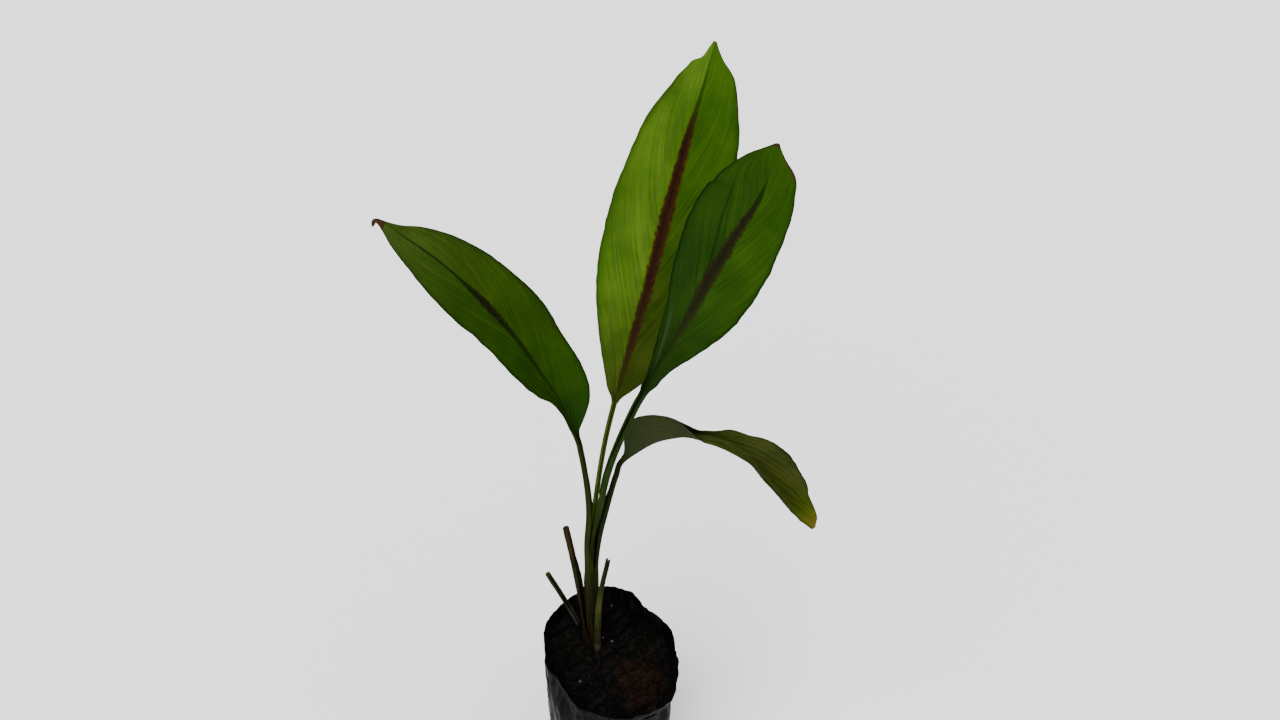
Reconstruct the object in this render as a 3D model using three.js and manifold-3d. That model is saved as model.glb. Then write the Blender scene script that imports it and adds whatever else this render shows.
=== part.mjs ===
// Young black turmeric plant in a black polythene nursery bag.
// Millimetres, +Z up. The origin is the middle of the bag's base, on the ground. The plant is seen along +Y.
// Each leaf is one strip of tissue, as it grew: a sheath rolled round the younger ones, a channelled stalk
// and a blade.
import * as THREE from "three";
import { mergeVertices } from "three/addons/utils/BufferGeometryUtils.js";
import Module from "manifold-3d";

const wasm = await Module();
wasm.setup();

const GAP = 0.3; // between neighbouring solids that touch
const MERGE = 1e-4; // points closer than this are one

// Bag of thin black film
const BAG_BASE_RADIUS = 44;
const BAG_BODY_RADIUS = 47;
const BAG_BULGE = 1.2;
const BAG_WALL = 0.9;
const BAG_FLOOR = 1.2;
const BAG_CORNER_HEIGHT = 9; // height over which the base rounds into the wall
const BAG_SIDES = 72;
const WALL_LEVELS = [0, 0.03, 0.08, 0.18, 0.34, 0.52, 0.68, 0.8, 0.9, 1]; // share of the mouth's height
// Crumpled mouth: [bearing in degrees, radius, height]
const MOUTH = [
  [0, 48, 152], [20, 48, 154], [55, 43, 157], [70, 49, 159], [95, 54, 159], [115, 56, 158],
  [130, 55, 157], [155, 54.5, 155], [165, 53.5, 154], [180, 48.5, 152], [190, 50, 151],
  [205, 44, 149], [225, 44.5, 147], [240, 48, 146], [255, 47, 145], [265, 48, 145],
  [280, 51, 145], [300, 53.5, 146], [310, 56, 147], [320, 58, 147.5], [335, 53.5, 149], [350, 51, 151],
];
const MOUTH_SHARE = 0.8; // where the wall starts to take the mouth's crumpled shape
const FOLD_SHARE = [0.02, 0.3]; // from where to where the folds deepen
// Standing folds of the film: [bearing at the base, drift up to the mouth and half width in degrees, depth,
// phase of the swell]
const FOLDS = [
  [22, -6, 7, 3.5, 0], [62, 8, 6, 3, 2], [118, -5, 7, 3, 4], [152, 6, 6, 2.5, 1], [206, -7, 8, 4.5, 5],
  [232, 6, 5, 2.5, 3], [262, -4, 6, 3, 0], [294, 7, 7, 3.5, 2], [332, -6, 7, 4, 4],
];
const FOLD_SWELL = 0.4; // share of a fold's depth that comes and goes
const FOLD_TURNS = 5; // how fast it does, in radians over the bag's height

// Soil
const SOIL_LEVEL = 138;
const SOIL_SLOPE = 0.12; // rise towards the back for each millimetre
const SOIL_RINGS = [0.94, 0.8, 0.64, 0.46, 0.26]; // share of the soil's own radius
const MOUND = { x: -20, y: 20, height: 3, spread: 14 };
// Low lumps: [height, radians for each millimetre in x, and in y, phase]
const LUMPS = [[1, 0.31, 0.12, 1], [0.8, -0.4, 0.53, 0], [0.6, 0.14, -0.37, 2]];

// Stem of rolled sheaths, which leans a little to the right
const STEM_FOOT = [-15.6, 17.5, 137];
const STEM_LEAN = [0.026, 0.004]; // sideways run for each millimetre of height
const CROWN_Z = 104; // where the sheaths start, on the rhizome
const SHEATH_ROWS = [0, 0.4, 0.82, 1]; // shares of the way up to where the stalk parts
const SHEATH_THICK = 0.8;
const SHEATH_WRAP = 130; // degrees that a sheath covers on each side of its midrib
const STEM_HOLE = 7.4;
const HOLE_TOP = 175;
const HOLE_BELOW = 2; // how far the hole goes on below the crown

// Channelled stalk: a strip rolled almost shut, at a scale of one
const STALK_RADIUS = 0.8; // middle of the strip
const STALK_THICK = 1.1;
const STALK_WRAP = 150;
const STALK_OUTER = STALK_RADIUS + STALK_THICK / 2;

// Blade
const BLADE_THICK = 0.8;
const RIB_DEPTH = 1; // how far the midrib stands out below, at the blade's base
const GUTTER = 3; // width over which a half turns up from the midrib
const BLADE_OPENS = 0.08; // share of its length over which the rolled stalk opens into the blade
const BLADE_ENDS = 0.9; // share from which it runs out to its tip
const WAVE_STARTS = [0.05, 0.25]; // shares over which the margins begin to wave
const WAVE_SHIFT = 0.37; // turns by which the right margin's wave runs ahead of the left one's
const BLADE_STEPS = 24;
const STALK_STEP = 0.25; // rows between the stations of a stalk
const STRIP_CELLS = 4; // cells across each half of a leaf
const EVEN_SPREAD = [0, 0.25, 0.5, 0.75, 1];
const BLADE_SPREAD = [0, 0.07, 0.35, 0.68, 1]; // the first cell is the midrib
const TANGENT_REACH = 0.02; // rows ahead and back over which a strip's direction is taken
const MEASURING = 60; // steps between rows when a blade's length is measured

// Leaves, from the innermost out. Bearing is where the midrib lies round the stem, sheath the radius of its
// roll, and leaves the height at which the stalk parts from the stem. Narrow is how much the sheath covers
// there, and roll takes it on to a stalk: [share of the sheath's radius, degrees covered] at each row. Stalk
// and blade hold the midrib's points, each with the direction that the upper side faces. Outline holds [share
// of the blade's length, width left, width right, fold of each half up from flat in degrees, further bend on
// the way to the margin in degrees].
const LEAVES = {
  leaf_tall: {
    finish: "young_leaf", bearing: 120, sheath: 1.04, leaves: 256, scale: 1.3,
    stalk: [
      [-10.1, 19.5, 279, 0.5, -0.87, 0], [-7.4, 20.8, 300, 0.5, -0.87, 0], [-1.6, 24.6, 337, 0.4, -0.9, 0.1],
    ],
    blade: [
      [5.5, 28.5, 368.5, 0.2, -0.95, 0.25], [13.9, 31, 401, 0.1, -0.96, 0.25],
      [21.6, 33, 431, 0.05, -0.96, 0.25], [28.4, 36, 458, 0, -0.96, 0.25], [36, 41, 491, 0, -0.96, 0.25],
      [45.3, 48, 527, 0, -0.96, 0.25], [53.5, 54.5, 555, 0, -0.96, 0.25], [59.4, 62, 577, 0, -0.96, 0.25],
    ],
    outline: [
      [0.03, 6, 5, 30, 60], [0.06, 9.5, 9, 25, 35], [0.1, 12.5, 14, 20, 20], [0.2, 20, 24, 12, 14],
      [0.3, 26.5, 30, 8, 12], [0.4, 31.3, 33, 6, 12], [0.5, 32.5, 34, 6, 12], [0.6, 31.5, 33, 6, 12],
      [0.7, 29, 30.5, 6, 12], [0.8, 24.5, 26.3, 6, 14], [0.9, 15.5, 17.7, 6, 14], [0.95, 8, 10.2, 6, 12],
      [0.98, 2.5, 4.2, 4, 6], [1, 0.8, 0.8, 0, 4],
    ],
    wave: { height: 1.4, count: 3.5, phase: 0.1 },
  },
  leaf_front: {
    finish: "leaf", bearing: 5, sheath: 2.85, leaves: 256, narrow: 85, scale: 1.85,
    roll: [[0.45, 105], [0.1, 140]],
    stalk: [
      [-4.1, 16.7, 284, -0.93, 0.3, 0], [-1.6, 16.8, 300, -0.95, 0, 0], [2.7, 17.4, 322, -0.88, -0.4, 0],
      [9.6, 16.9, 347, -0.7, -0.65, 0.1],
    ],
    blade: [
      [20.5, 13.2, 381.5, -0.4, -0.9, 0.25], [33.5, 9.5, 414, -0.35, -0.92, 0.25],
      [46.7, 6.5, 444, -0.3, -0.93, 0.22], [58.6, 4, 474.6, -0.25, -0.94, 0.2],
      [70, 1.5, 501, -0.2, -0.95, 0.2], [80.3, -1, 524, -0.15, -0.95, 0.2], [84.9, -5, 551, -0.1, -0.95, 0.2],
    ],
    outline: [
      [0.05, 3.3, 5, 30, 90], [0.1, 4.2, 7, 32, 45], [0.2, 6.6, 9.2, 25, 25], [0.3, 10.6, 15.8, 18, 20],
      [0.4, 14.6, 21.6, 14, 16], [0.5, 18.9, 25.4, 12, 14], [0.6, 22.8, 26.6, 10, 14],
      [0.7, 26.5, 24.8, 8, 14], [0.8, 27, 20.3, 8, 14], [0.87, 25.2, 15, 8, 14], [0.92, 21.3, 11, 8, 12],
      [0.96, 13, 5.4, 6, 10], [0.985, 5, 2.2, 4, 6], [1, 0.8, 0.8, 0, 4],
    ],
    wave: { height: 1.6, count: 3, phase: 0.45 },
  },
  leaf_left: {
    finish: "leaf", bearing: 180, sheath: 4.1, leaves: 250, narrow: 62, scale: 1.45,
    roll: [[0.5, 80], [0.15, 120]],
    stalk: [
      [-14.3, 17.8, 276, 1, -0.1, 0], [-13.8, 17.4, 296, 0.97, -0.2, 0], [-14.6, 16.6, 318, 0.9, -0.4, 0],
      [-16.4, 15.2, 340, 0.8, -0.55, 0.1],
    ],
    blade: [
      [-17.9, 12.5, 354.5, 0.65, -0.7, 0.3], [-25.3, 9, 386, 0.6, -0.72, 0.35],
      [-35.7, 6, 411, 0.52, -0.72, 0.45], [-47.4, 4, 436.5, 0.48, -0.7, 0.5],
      [-62.9, 0, 464, 0.43, -0.7, 0.55], [-80.4, -3, 488, 0.4, -0.7, 0.6],
      [-104.5, -4, 509.7, 0.35, -0.7, 0.6], [-109.8, -4, 508.6, 0.35, -0.7, 0.6],
    ],
    outline: [
      [0.03, 3.3, 4.5, 35, 80], [0.06, 4.6, 7.4, 50, 30], [0.1, 6, 12, 52, 12], [0.145, 8, 16.5, 46, 10],
      [0.195, 10.2, 19.6, 38, 10], [0.29, 14.6, 22.6, 22, 10], [0.39, 17, 23.2, 14, 12],
      [0.485, 17.5, 23.5, 12, 12], [0.58, 19, 22.8, 10, 12], [0.68, 19.6, 20.8, 8, 12],
      [0.775, 17.5, 16.2, 8, 12], [0.875, 11.3, 9, 8, 10], [0.92, 8, 4.2, 6, 8], [0.955, 3.6, 1.9, 4, 6],
      [0.975, 1.4, 1.3, 0, 6], [1, 0.8, 0.8, 0, 4],
    ],
    wave: { height: 1.5, count: 3.2, phase: 0.2 },
  },
  leaf_drooping: {
    finish: "leaf", bearing: 30, sheath: 5.3, leaves: 232, narrow: 50, scale: 1.5,
    roll: [[0.55, 62], [0.2, 95]],
    stalk: [
      [-5, 21, 258, -0.87, -0.45, 0], [-0.2, 22.8, 280, -0.87, -0.48, 0.1],
      [3.6, 24.7, 296, -0.85, -0.4, 0.3], [7, 26.2, 308, -0.8, -0.15, 0.5],
    ],
    blade: [
      [11.2, 28, 319.1, -0.3, 0.37, 0.93], [28.8, 34, 329.5, 0, 0.37, 0.93], [45, 37.8, 331.9, 0, -0.1, 1],
      [58, 39, 331.8, 0, -0.72, 0.69], [77, 39, 326, 0, -0.66, 0.75], [92.5, 38, 313.5, 0, -0.46, 0.89],
      [108, 36, 294, 0, -0.36, 0.93], [126, 33, 271, 0, -0.34, 0.94], [143.8, 28, 255.8, 0, -0.3, 0.95],
    ],
    outline: [
      [0.03, 5.5, 7.5, 50, 60], [0.06, 9, 15, 75, 10], [0.1, 13, 21.5, 82, 0], [0.15, 16, 23, 84, 0],
      [0.25, 14.5, 20, 86, 0], [0.33, 13, 17, 88, -2], [0.42, 19.5, 17, 76, -2], [0.54, 25, 16, 66, -2],
      [0.7, 23.5, 15, 60, 0], [0.8, 19.5, 13, 54, 4], [0.9, 13, 10, 50, 6], [0.95, 9, 6, 45, 6],
      [0.985, 4.5, 3, 30, 6], [1, 0.8, 0.8, 10, 4],
    ],
    wave: { height: 1.1, count: 4.2, phase: 0.6 },
  },
};

// Brown old sheath with what is left of its stalk
const OLD_SHEATH = {
  bearing: 165, sheath: 6.5, leaves: 160, wrap: 100, narrow: 68, scale: 1.75,
  roll: [[0.6, 58], [0.25, 95]],
  stalk: [
    [-22.1, 19.5, 180, 0.95, -0.3, 0], [-24, 20.4, 200, 0.92, -0.4, 0], [-27.2, 21.4, 233, 0.9, -0.4, 0],
    [-30.7, 22.4, 261.5, 0.9, -0.4, 0],
  ],
};

// Cut stalks of earlier leaves, each from the rhizome to its cut end; taper is what is left of the size there
const STUBS = {
  stub_front: {
    scale: 1.9, taper: 0.66, facing: [0.6, 0.8, 0],
    path: [[-12, 9, 102], [-10.8, 9.2, 140], [-7.8, 9.4, 196], [0, 8, 245.5]],
  },
  stub_side: {
    scale: 1.45, taper: 1, facing: [0.75, -0.66, 0],
    path: [[-22, 30, 102], [-26.6, 30, 143], [-34.5, 29, 171], [-45.7, 27, 206.4]],
  },
};

// Rhizome below the soil: each finger runs from one point to another
const RING_DEPTH = 0.6;
const FINGER_END = 0.35; // a finger's radius at its ends, as a share of its own
const TUBE_SIDES = 12;
const RHIZOME = [
  { from: [-27, 31, 98], to: [10, -12, 97], radius: 10, rings: 6 },
  { from: [2, -2, 95], to: [27, 10, 86], radius: 6.5, rings: 4 },
  { from: [-18, 14, 93], to: [-33, -12, 84], radius: 6.5, rings: 4 },
];

const FINISHES = {
  film: { color: 0x1c1c1f, roughness: 0.38, metalness: 0 },
  soil: { color: 0x1a120c, roughness: 0.95, metalness: 0 },
  rhizome: { color: 0x3a3342, roughness: 0.8, metalness: 0 },
  leaf: { color: 0x2f5010, roughness: 0.45, metalness: 0 },
  young_leaf: { color: 0x4c7a0c, roughness: 0.45, metalness: 0 },
  dry_stalk: { color: 0x4a3a1a, roughness: 0.8, metalness: 0 },
};

const radians = THREE.MathUtils.degToRad;
const mix = THREE.MathUtils.lerp;
const smooth = (from, to, x) => THREE.MathUtils.smoothstep(x, from, to);

// Cubic from a to b over a share t, with the slopes there.
function hermite(a, slopeA, b, slopeB, t) {
  return (2 * t ** 3 - 3 * t ** 2 + 1) * a + (t ** 3 - 2 * t ** 2 + t) * slopeA
    + (3 * t ** 2 - 2 * t ** 3) * b + (t ** 3 - t ** 2) * slopeB;
}

// Smooth curve through rows of numbers, with u counting rows.
function through(rows, u) {
  const last = rows.length - 1;
  const i = Math.min(Math.floor(u), last - 1);
  const mirror = (a, b) => a.map((value, k) => 2 * value - b[k]);
  const before = i > 0 ? rows[i - 1] : mirror(rows[0], rows[1]);
  const after = i + 2 <= last ? rows[i + 2] : mirror(rows[last], rows[last - 1]);
  return rows[i].map((value, k) => {
    const next = rows[i + 1][k];
    return hermite(value, (next - before[k]) / 2, next, (after[k] - value) / 2, u - i);
  });
}

// Smooth lookup in rows of [key, value, value...].
function lookup(rows, key) {
  const last = rows.length - 1;
  let i = 0;
  while (i < last - 1 && rows[i + 1][0] <= key) i += 1;
  const step = rows[i + 1][0] - rows[i][0];
  const slope = (j, k) => {
    const [from, to] = [rows[Math.max(j - 1, 0)], rows[Math.min(j + 1, last)]];
    return ((to[k] - from[k]) / (to[0] - from[0])) * step;
  };
  const t = THREE.MathUtils.clamp((key - rows[i][0]) / step, 0, 1);
  return rows[i].map((value, k) => hermite(value, slope(i, k), rows[i + 1][k], slope(i + 1, k), t)).slice(1);
}

function solidFrom(positions, triangles) {
  const geometry = new THREE.BufferGeometry();
  geometry.setAttribute("position", new THREE.Float32BufferAttribute(positions.flat(), 3));
  geometry.setIndex(triangles.flat());
  const merged = mergeVertices(geometry, MERGE);
  return new wasm.Manifold(new wasm.Mesh({
    numProp: 3,
    vertProperties: merged.attributes.position.array,
    triVerts: new Uint32Array(merged.index.array),
  }));
}

function geometryFrom(solid) {
  const mesh = solid.getMesh();
  const positions = new Float32Array(mesh.numVert * 3);
  for (let i = 0; i < mesh.numVert; i += 1) {
    positions.set(mesh.vertProperties.subarray(i * mesh.numProp, i * mesh.numProp + 3), i * 3);
  }
  const geometry = new THREE.BufferGeometry();
  geometry.setAttribute("position", new THREE.BufferAttribute(positions, 3));
  geometry.setIndex(new THREE.BufferAttribute(mesh.triVerts, 1));
  geometry.computeVertexNormals();
  return geometry;
}

// Closed solid from equal rings of points, bottom ring first, with a fan to a middle point at each end.
// Crossed cuts each four-sided face along its other diagonal.
function lofted(rings, firstMiddle, lastMiddle, crossed = false) {
  const sides = rings[0].length;
  const positions = [...rings.flat(), firstMiddle, lastMiddle];
  const first = rings.length * sides;
  const triangles = [];
  for (let k = 0; k < sides; k += 1) {
    const next = (k + 1) % sides;
    for (let r = 0; r < rings.length - 1; r += 1) {
      const [a, b] = [r * sides + k, r * sides + next];
      if (crossed) triangles.push([a, b, a + sides], [b, b + sides, a + sides]);
      else triangles.push([a, b, b + sides], [a, b + sides, a + sides]);
    }
    triangles.push([first, next, k]);
    triangles.push([first + 1, first - sides + k, first - sides + next]);
  }
  return solidFrom(positions, triangles);
}

// Round tube through rows of [x, y, z, radius].
function tube(rows) {
  const rings = rows.map((row, i) => {
    const [from, to] = [rows[Math.max(i - 1, 0)], rows[Math.min(i + 1, rows.length - 1)]];
    const along = new THREE.Vector3(to[0] - from[0], to[1] - from[1], to[2] - from[2]).normalize();
    const across = new THREE.Vector3(-along.z, 0, along.x).cross(along).normalize();
    const over = along.clone().cross(across);
    return Array.from({ length: TUBE_SIDES }, (_, k) => {
      const turn = (2 * Math.PI * k) / TUBE_SIDES;
      const [c, s] = [Math.cos(turn) * row[3], Math.sin(turn) * row[3]];
      return [0, 1, 2].map((a) => row[a] + c * across.getComponent(a) + s * over.getComponent(a));
    });
  });
  return lofted(rings, rows[0].slice(0, 3), rows[rows.length - 1].slice(0, 3));
}

// Radius and height of the mouth at a bearing, straight between its corners.
function mouthAt(bearing) {
  const closed = [...MOUTH, [MOUTH[0][0] + 360, MOUTH[0][1], MOUTH[0][2]]];
  const i = closed.findIndex((corner, k) => k > 0 && bearing <= corner[0]) - 1;
  const [from, to] = [closed[i], closed[i + 1]];
  const t = (bearing - from[0]) / (to[0] - from[0]);
  return { radius: mix(from[1], to[1], t), height: mix(from[2], to[2], t) };
}

// Outer radius of the bag at a bearing and a share of the mouth's height.
function bagRadius(bearing, share) {
  const mouth = mouthAt(bearing);
  const z = share * mouth.height;
  const corner = 1 - Math.sqrt(Math.max(0, 1 - (1 - Math.min(z / BAG_CORNER_HEIGHT, 1)) ** 2));
  const body = mix(BAG_BODY_RADIUS, BAG_BASE_RADIUS, corner) + BAG_BULGE * Math.sin(Math.PI * share);
  const folds = FOLDS.reduce((sum, [middle, drift, half, depth, phase]) => {
    const away = (((bearing - middle - drift * share + 540) % 360) - 180) / half;
    const swell = 1 - FOLD_SWELL + FOLD_SWELL * Math.cos(FOLD_TURNS * share + phase);
    return sum + depth * Math.exp(-away * away) * swell;
  }, 0);
  return mix(body - folds * smooth(...FOLD_SHARE, share), mouth.radius, smooth(MOUTH_SHARE, 1, share));
}

// Ring of the bag's wall, taken in by an inset, at a share of the mouth's height.
function bagRing(share, inset, height) {
  return Array.from({ length: BAG_SIDES }, (_, k) => {
    const bearing = (k * 360) / BAG_SIDES;
    const radius = bagRadius(bearing, share) - inset;
    const z = height ?? share * mouthAt(bearing).height;
    return [radius * Math.cos(radians(bearing)), radius * Math.sin(radians(bearing)), z];
  });
}

function bag() {
  const outer = WALL_LEVELS.map((share) => bagRing(share, 0));
  const inner = WALL_LEVELS.slice(1).map((share) => bagRing(share, BAG_WALL));
  const floor = bagRing(0, BAG_WALL, BAG_FLOOR);
  return lofted([...outer, ...inner.reverse(), floor], [0, 0, 0], [0, 0, BAG_FLOOR]);
}

function soilHeight(x, y) {
  const away = ((x - MOUND.x) ** 2 + (y - MOUND.y) ** 2) / (2 * MOUND.spread ** 2);
  const level = SOIL_LEVEL + SOIL_SLOPE * y + MOUND.height * Math.exp(-away);
  return LUMPS.reduce((sum, [height, inX, inY, phase]) => (
    sum + height * Math.sin(inX * x + inY * y + phase)), level);
}

// Fill of the bag, with the hollows in which the rhizome and the stems stand.
function soil() {
  const inset = BAG_WALL + GAP;
  const floor = BAG_FLOOR + GAP;
  const wall = WALL_LEVELS.slice(1, -1).map((share) => bagRing(share, inset));
  const edge = wall[wall.length - 1];
  const top = SOIL_RINGS.map((share) => edge.map(([x, y]) => (
    [x * share, y * share, soilHeight(x * share, y * share)])));
  const rings = [bagRing(0, inset, floor), ...wall, ...top];
  const filled = lofted(rings, [0, 0, floor], [0, 0, soilHeight(0, 0)], true);
  const stubHoles = Object.values(STUBS).map(({ path, scale }) => (
    tube(path.map(([x, y, z]) => [x, y, z, STALK_OUTER * scale + 2 * GAP]))));
  const stemHole = tube([CROWN_Z - HOLE_BELOW, HOLE_TOP].map((z) => [...axisAt(z), STEM_HOLE]));
  return filled.subtract(wasm.Manifold.union([rhizome(GAP), stemHole, ...stubHoles]));
}

// Ringed rhizome with its fingers, grown by a margin where it makes room for itself in what surrounds it.
function rhizome(grow = 0) {
  return wasm.Manifold.union(RHIZOME.map(({ from, to, radius, rings }) => {
    const [start, end] = [new THREE.Vector3(...from), new THREE.Vector3(...to)];
    const ahead = end.clone().sub(start).setLength(grow);
    [start, end].forEach((tip, k) => tip.addScaledVector(ahead, 2 * k - 1));
    const rows = Array.from({ length: 2 * rings + 1 }, (_, i) => {
      const t = i / (2 * rings);
      const round = Math.sqrt(Math.max(FINGER_END ** 2, 1 - (2 * t - 1) ** 4));
      return [...start.clone().lerp(end, t).toArray(), radius * round - (i % 2) * RING_DEPTH + grow];
    });
    return tube(rows);
  }));
}

// Middle of the rolled stem at a height.
function axisAt(z) {
  const rise = z - STEM_FOOT[2];
  return [STEM_FOOT[0] + rise * STEM_LEAN[0], STEM_FOOT[1] + rise * STEM_LEAN[1], z];
}

// Section of a strip rolled to a radius, wrapping some degrees on each side of its midrib.
function rolled(radius, wrap, thick) {
  const half = radius * radians(wrap);
  return { left: half, right: half, fold: 0, bend: wrap, thick, rib: 0, wave: [0, 0], spread: EVEN_SPREAD };
}

// Point of a half section at a distance from the midrib: how far out, how far up, and its angle there. The
// half turns up by its fold within the gutter, and bends evenly all the way.
function halfSection(distance, width, fold, bend) {
  const gutter = Math.min(GUTTER, width);
  const even = radians(bend) / width;
  const inner = Math.min(distance, gutter);
  let [out, rise, angle] = [0, 0, 0];
  [[inner, even + radians(fold) / gutter], [distance - inner, even]].forEach(([length, curve]) => {
    const turned = angle + curve * length;
    const straight = curve === 0;
    out += straight ? length * Math.cos(angle) : (Math.sin(turned) - Math.sin(angle)) / curve;
    rise += straight ? length * Math.sin(angle) : (Math.cos(angle) - Math.cos(turned)) / curve;
    angle = turned;
  });
  return { out, rise, angle };
}

// Solid strip of leaf along rows of [x, y, z, and the direction that its upper side faces]. Each station is a
// place u along the rows, and the section there. Both faces are cut into triangles alike.
function strip(rows, stations) {
  const span = rows.length - 1;
  const upper = [];
  const lower = [];
  stations.forEach(({ u, section }) => {
    const here = through(rows, u);
    const [back, ahead] = [Math.max(u - TANGENT_REACH, 0), Math.min(u + TANGENT_REACH, span)].map((at) => (
      new THREE.Vector3(...through(rows, at))));
    const origin = new THREE.Vector3(...here);
    const along = ahead.sub(back).normalize();
    const facing = new THREE.Vector3(...here.slice(3));
    facing.addScaledVector(along, -facing.dot(along)).normalize();
    const across = along.clone().cross(facing);
    const place = (x, n) => (
      origin.clone().addScaledVector(across, x).addScaledVector(facing, n).toArray());
    for (let j = -STRIP_CELLS; j <= STRIP_CELLS; j += 1) {
      const side = Math.sign(j);
      const share = section.spread[Math.abs(j)];
      const width = side < 0 ? section.left : section.right;
      const { out, rise, angle } = halfSection(share * width, width, section.fold, section.bend);
      const lift = rise + section.wave[side < 0 ? 0 : 1] * share * share;
      const [dx, dn] = [(Math.sin(angle) * section.thick) / 2, (Math.cos(angle) * section.thick) / 2];
      upper.push(place(side * (out - dx), lift + dn));
      lower.push(place(side * (out + dx), lift - dn - (side ? 0 : section.rib)));
    }
  });
  const row = 2 * STRIP_CELLS + 1;
  const down = upper.length;
  const end = down - row;
  const triangles = [];
  for (let a = 0; a < end; a += row) {
    for (let j = a; j < a + row - 1; j += 1) {
      const b = j + row;
      triangles.push([j, j + 1, b + 1], [j, b + 1, b]);
      triangles.push([j + down, b + 1 + down, j + 1 + down], [j + down, b + down, b + 1 + down]);
    }
    const r = a + row - 1;
    triangles.push([a, a + row, a + row + down], [a, a + row + down, a + down]);
    triangles.push([r, r + down, r + row + down], [r, r + row + down, r + row]);
  }
  for (let j = 0; j < row - 1; j += 1) {
    const k = end + j;
    triangles.push([j, j + down, j + 1 + down], [j, j + 1 + down, j + 1]);
    triangles.push([k, k + 1 + down, k + down], [k, k + 1, k + 1 + down]);
  }
  return solidFrom([...upper, ...lower], triangles);
}

// Rows of the part that lies round the stem.
function sheathRows({ bearing, sheath, leaves }) {
  const out = [Math.cos(radians(bearing)), Math.sin(radians(bearing)), 0];
  return SHEATH_ROWS.map((share) => axisAt(mix(CROWN_Z, leaves, share))).map((middle) => (
    [...middle.map((value, k) => value + sheath * out[k]), ...out.map((value) => -value)]));
}

// Section of the rolled part at row u: wrapped round the stem, then narrower, then rolled up as a stalk. The
// innermost leaf is rolled up as a stalk from the start.
function stalkSection({ sheath, wrap = SHEATH_WRAP, narrow, roll, scale }, u) {
  const [radius, thick] = [STALK_RADIUS * scale, STALK_THICK * scale];
  if (!roll) return rolled(radius, STALK_WRAP, thick);
  const wrapped = SHEATH_ROWS.map((_, k) => [1, k < SHEATH_ROWS.length - 1 ? wrap : narrow]);
  const stages = [...wrapped, ...roll, [0, STALK_WRAP]];
  const i = Math.min(Math.floor(u), stages.length - 2);
  const [open, cover] = stages[i].map((value, k) => mix(value, stages[i + 1][k], Math.min(u - i, 1)));
  return rolled(mix(radius, sheath, open), cover, mix(thick, SHEATH_THICK, open));
}

// Section of the blade at a share of its length.
function bladeSection({ outline, wave, scale }, share) {
  const base = STALK_RADIUS * scale * radians(STALK_WRAP);
  const [left, right, fold, bend] = lookup([[0, base, base, 0, STALK_WRAP], ...outline], share);
  const opened = smooth(0, BLADE_OPENS, share);
  const tipped = smooth(BLADE_ENDS, 1, share);
  const height = wave.height * smooth(...WAVE_STARTS, share) * (1 - tipped);
  const ripple = (phase) => height * Math.sin(2 * Math.PI * (wave.count * share + phase));
  return {
    left,
    right,
    fold,
    bend,
    thick: mix(STALK_THICK * scale, BLADE_THICK, opened),
    rib: RIB_DEPTH * opened * (1 - share),
    wave: [ripple(wave.phase), ripple(wave.phase + WAVE_SHIFT)],
    spread: EVEN_SPREAD.map((even, k) => mix(even, BLADE_SPREAD[k], opened * (1 - tipped))),
  };
}

// Stations of the sheath and stalk, as far as place last.
function stalkStations(spec, last) {
  const stations = [0, 1].map((u) => ({ u, section: stalkSection(spec, u) }));
  for (let u = 2; u <= last; u += STALK_STEP) stations.push({ u, section: stalkSection(spec, u) });
  return stations;
}

function leaf(spec) {
  const rows = [...sheathRows(spec), ...spec.stalk, ...spec.blade];
  const base = rows.length - spec.blade.length;
  const lengths = [0];
  for (let i = 1; i <= (spec.blade.length - 1) * MEASURING; i += 1) {
    const [a, b] = [i - 1, i].map((step) => new THREE.Vector3(...through(rows, base + step / MEASURING)));
    lengths.push(lengths[i - 1] + a.distanceTo(b));
  }
  const stations = stalkStations(spec, base - STALK_STEP);
  for (let k = 0; k <= BLADE_STEPS; k += 1) {
    const share = (1 - Math.cos((Math.PI * k) / BLADE_STEPS)) / 2;
    const reach = share * lengths[lengths.length - 1];
    const i = Math.max(1, lengths.findIndex((length) => length >= reach));
    const step = i - 1 + (reach - lengths[i - 1]) / (lengths[i] - lengths[i - 1]);
    stations.push({ u: base + step / MEASURING, section: bladeSection(spec, share) });
  }
  return strip(rows, stations).subtract(rhizome(GAP));
}

function oldSheath() {
  const rows = [...sheathRows(OLD_SHEATH), ...OLD_SHEATH.stalk];
  return strip(rows, stalkStations(OLD_SHEATH, rows.length - 1)).subtract(rhizome(GAP));
}

function stub({ path, scale, taper, facing }) {
  const rows = path.map((point) => (
    [...point.map((value, k) => value - facing[k] * STALK_RADIUS * scale), ...facing]));
  const stations = [];
  for (let u = 0; u <= rows.length - 1; u += 2 * STALK_STEP) {
    const size = scale * mix(1, taper, smooth(1, rows.length - 1, u));
    stations.push({ u, section: rolled(STALK_RADIUS * size, STALK_WRAP, STALK_THICK * size) });
  }
  return strip(rows, stations).subtract(rhizome(GAP));
}

const plant = new THREE.Group();

function add(name, solid, finish) {
  const mesh = new THREE.Mesh(geometryFrom(solid), new THREE.MeshStandardMaterial(FINISHES[finish]));
  mesh.name = name;
  plant.add(mesh);
}

add("grow_bag", bag(), "film");
add("soil", soil(), "soil");
add("rhizome", rhizome(), "rhizome");
Object.entries(LEAVES).forEach(([name, spec]) => add(name, leaf(spec), spec.finish));
add("old_sheath", oldSheath(), "dry_stalk");
Object.entries(STUBS).forEach(([name, spec]) => add(name, stub(spec), "dry_stalk"));

export default plant;
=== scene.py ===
# Looks of a young black turmeric plant in a nursery bag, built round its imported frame.
# Shapes are worked out in millimetres along the frame's axes, and made in metres.
import math

import bmesh
import bpy
import numpy as np
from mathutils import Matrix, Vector, noise


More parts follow.
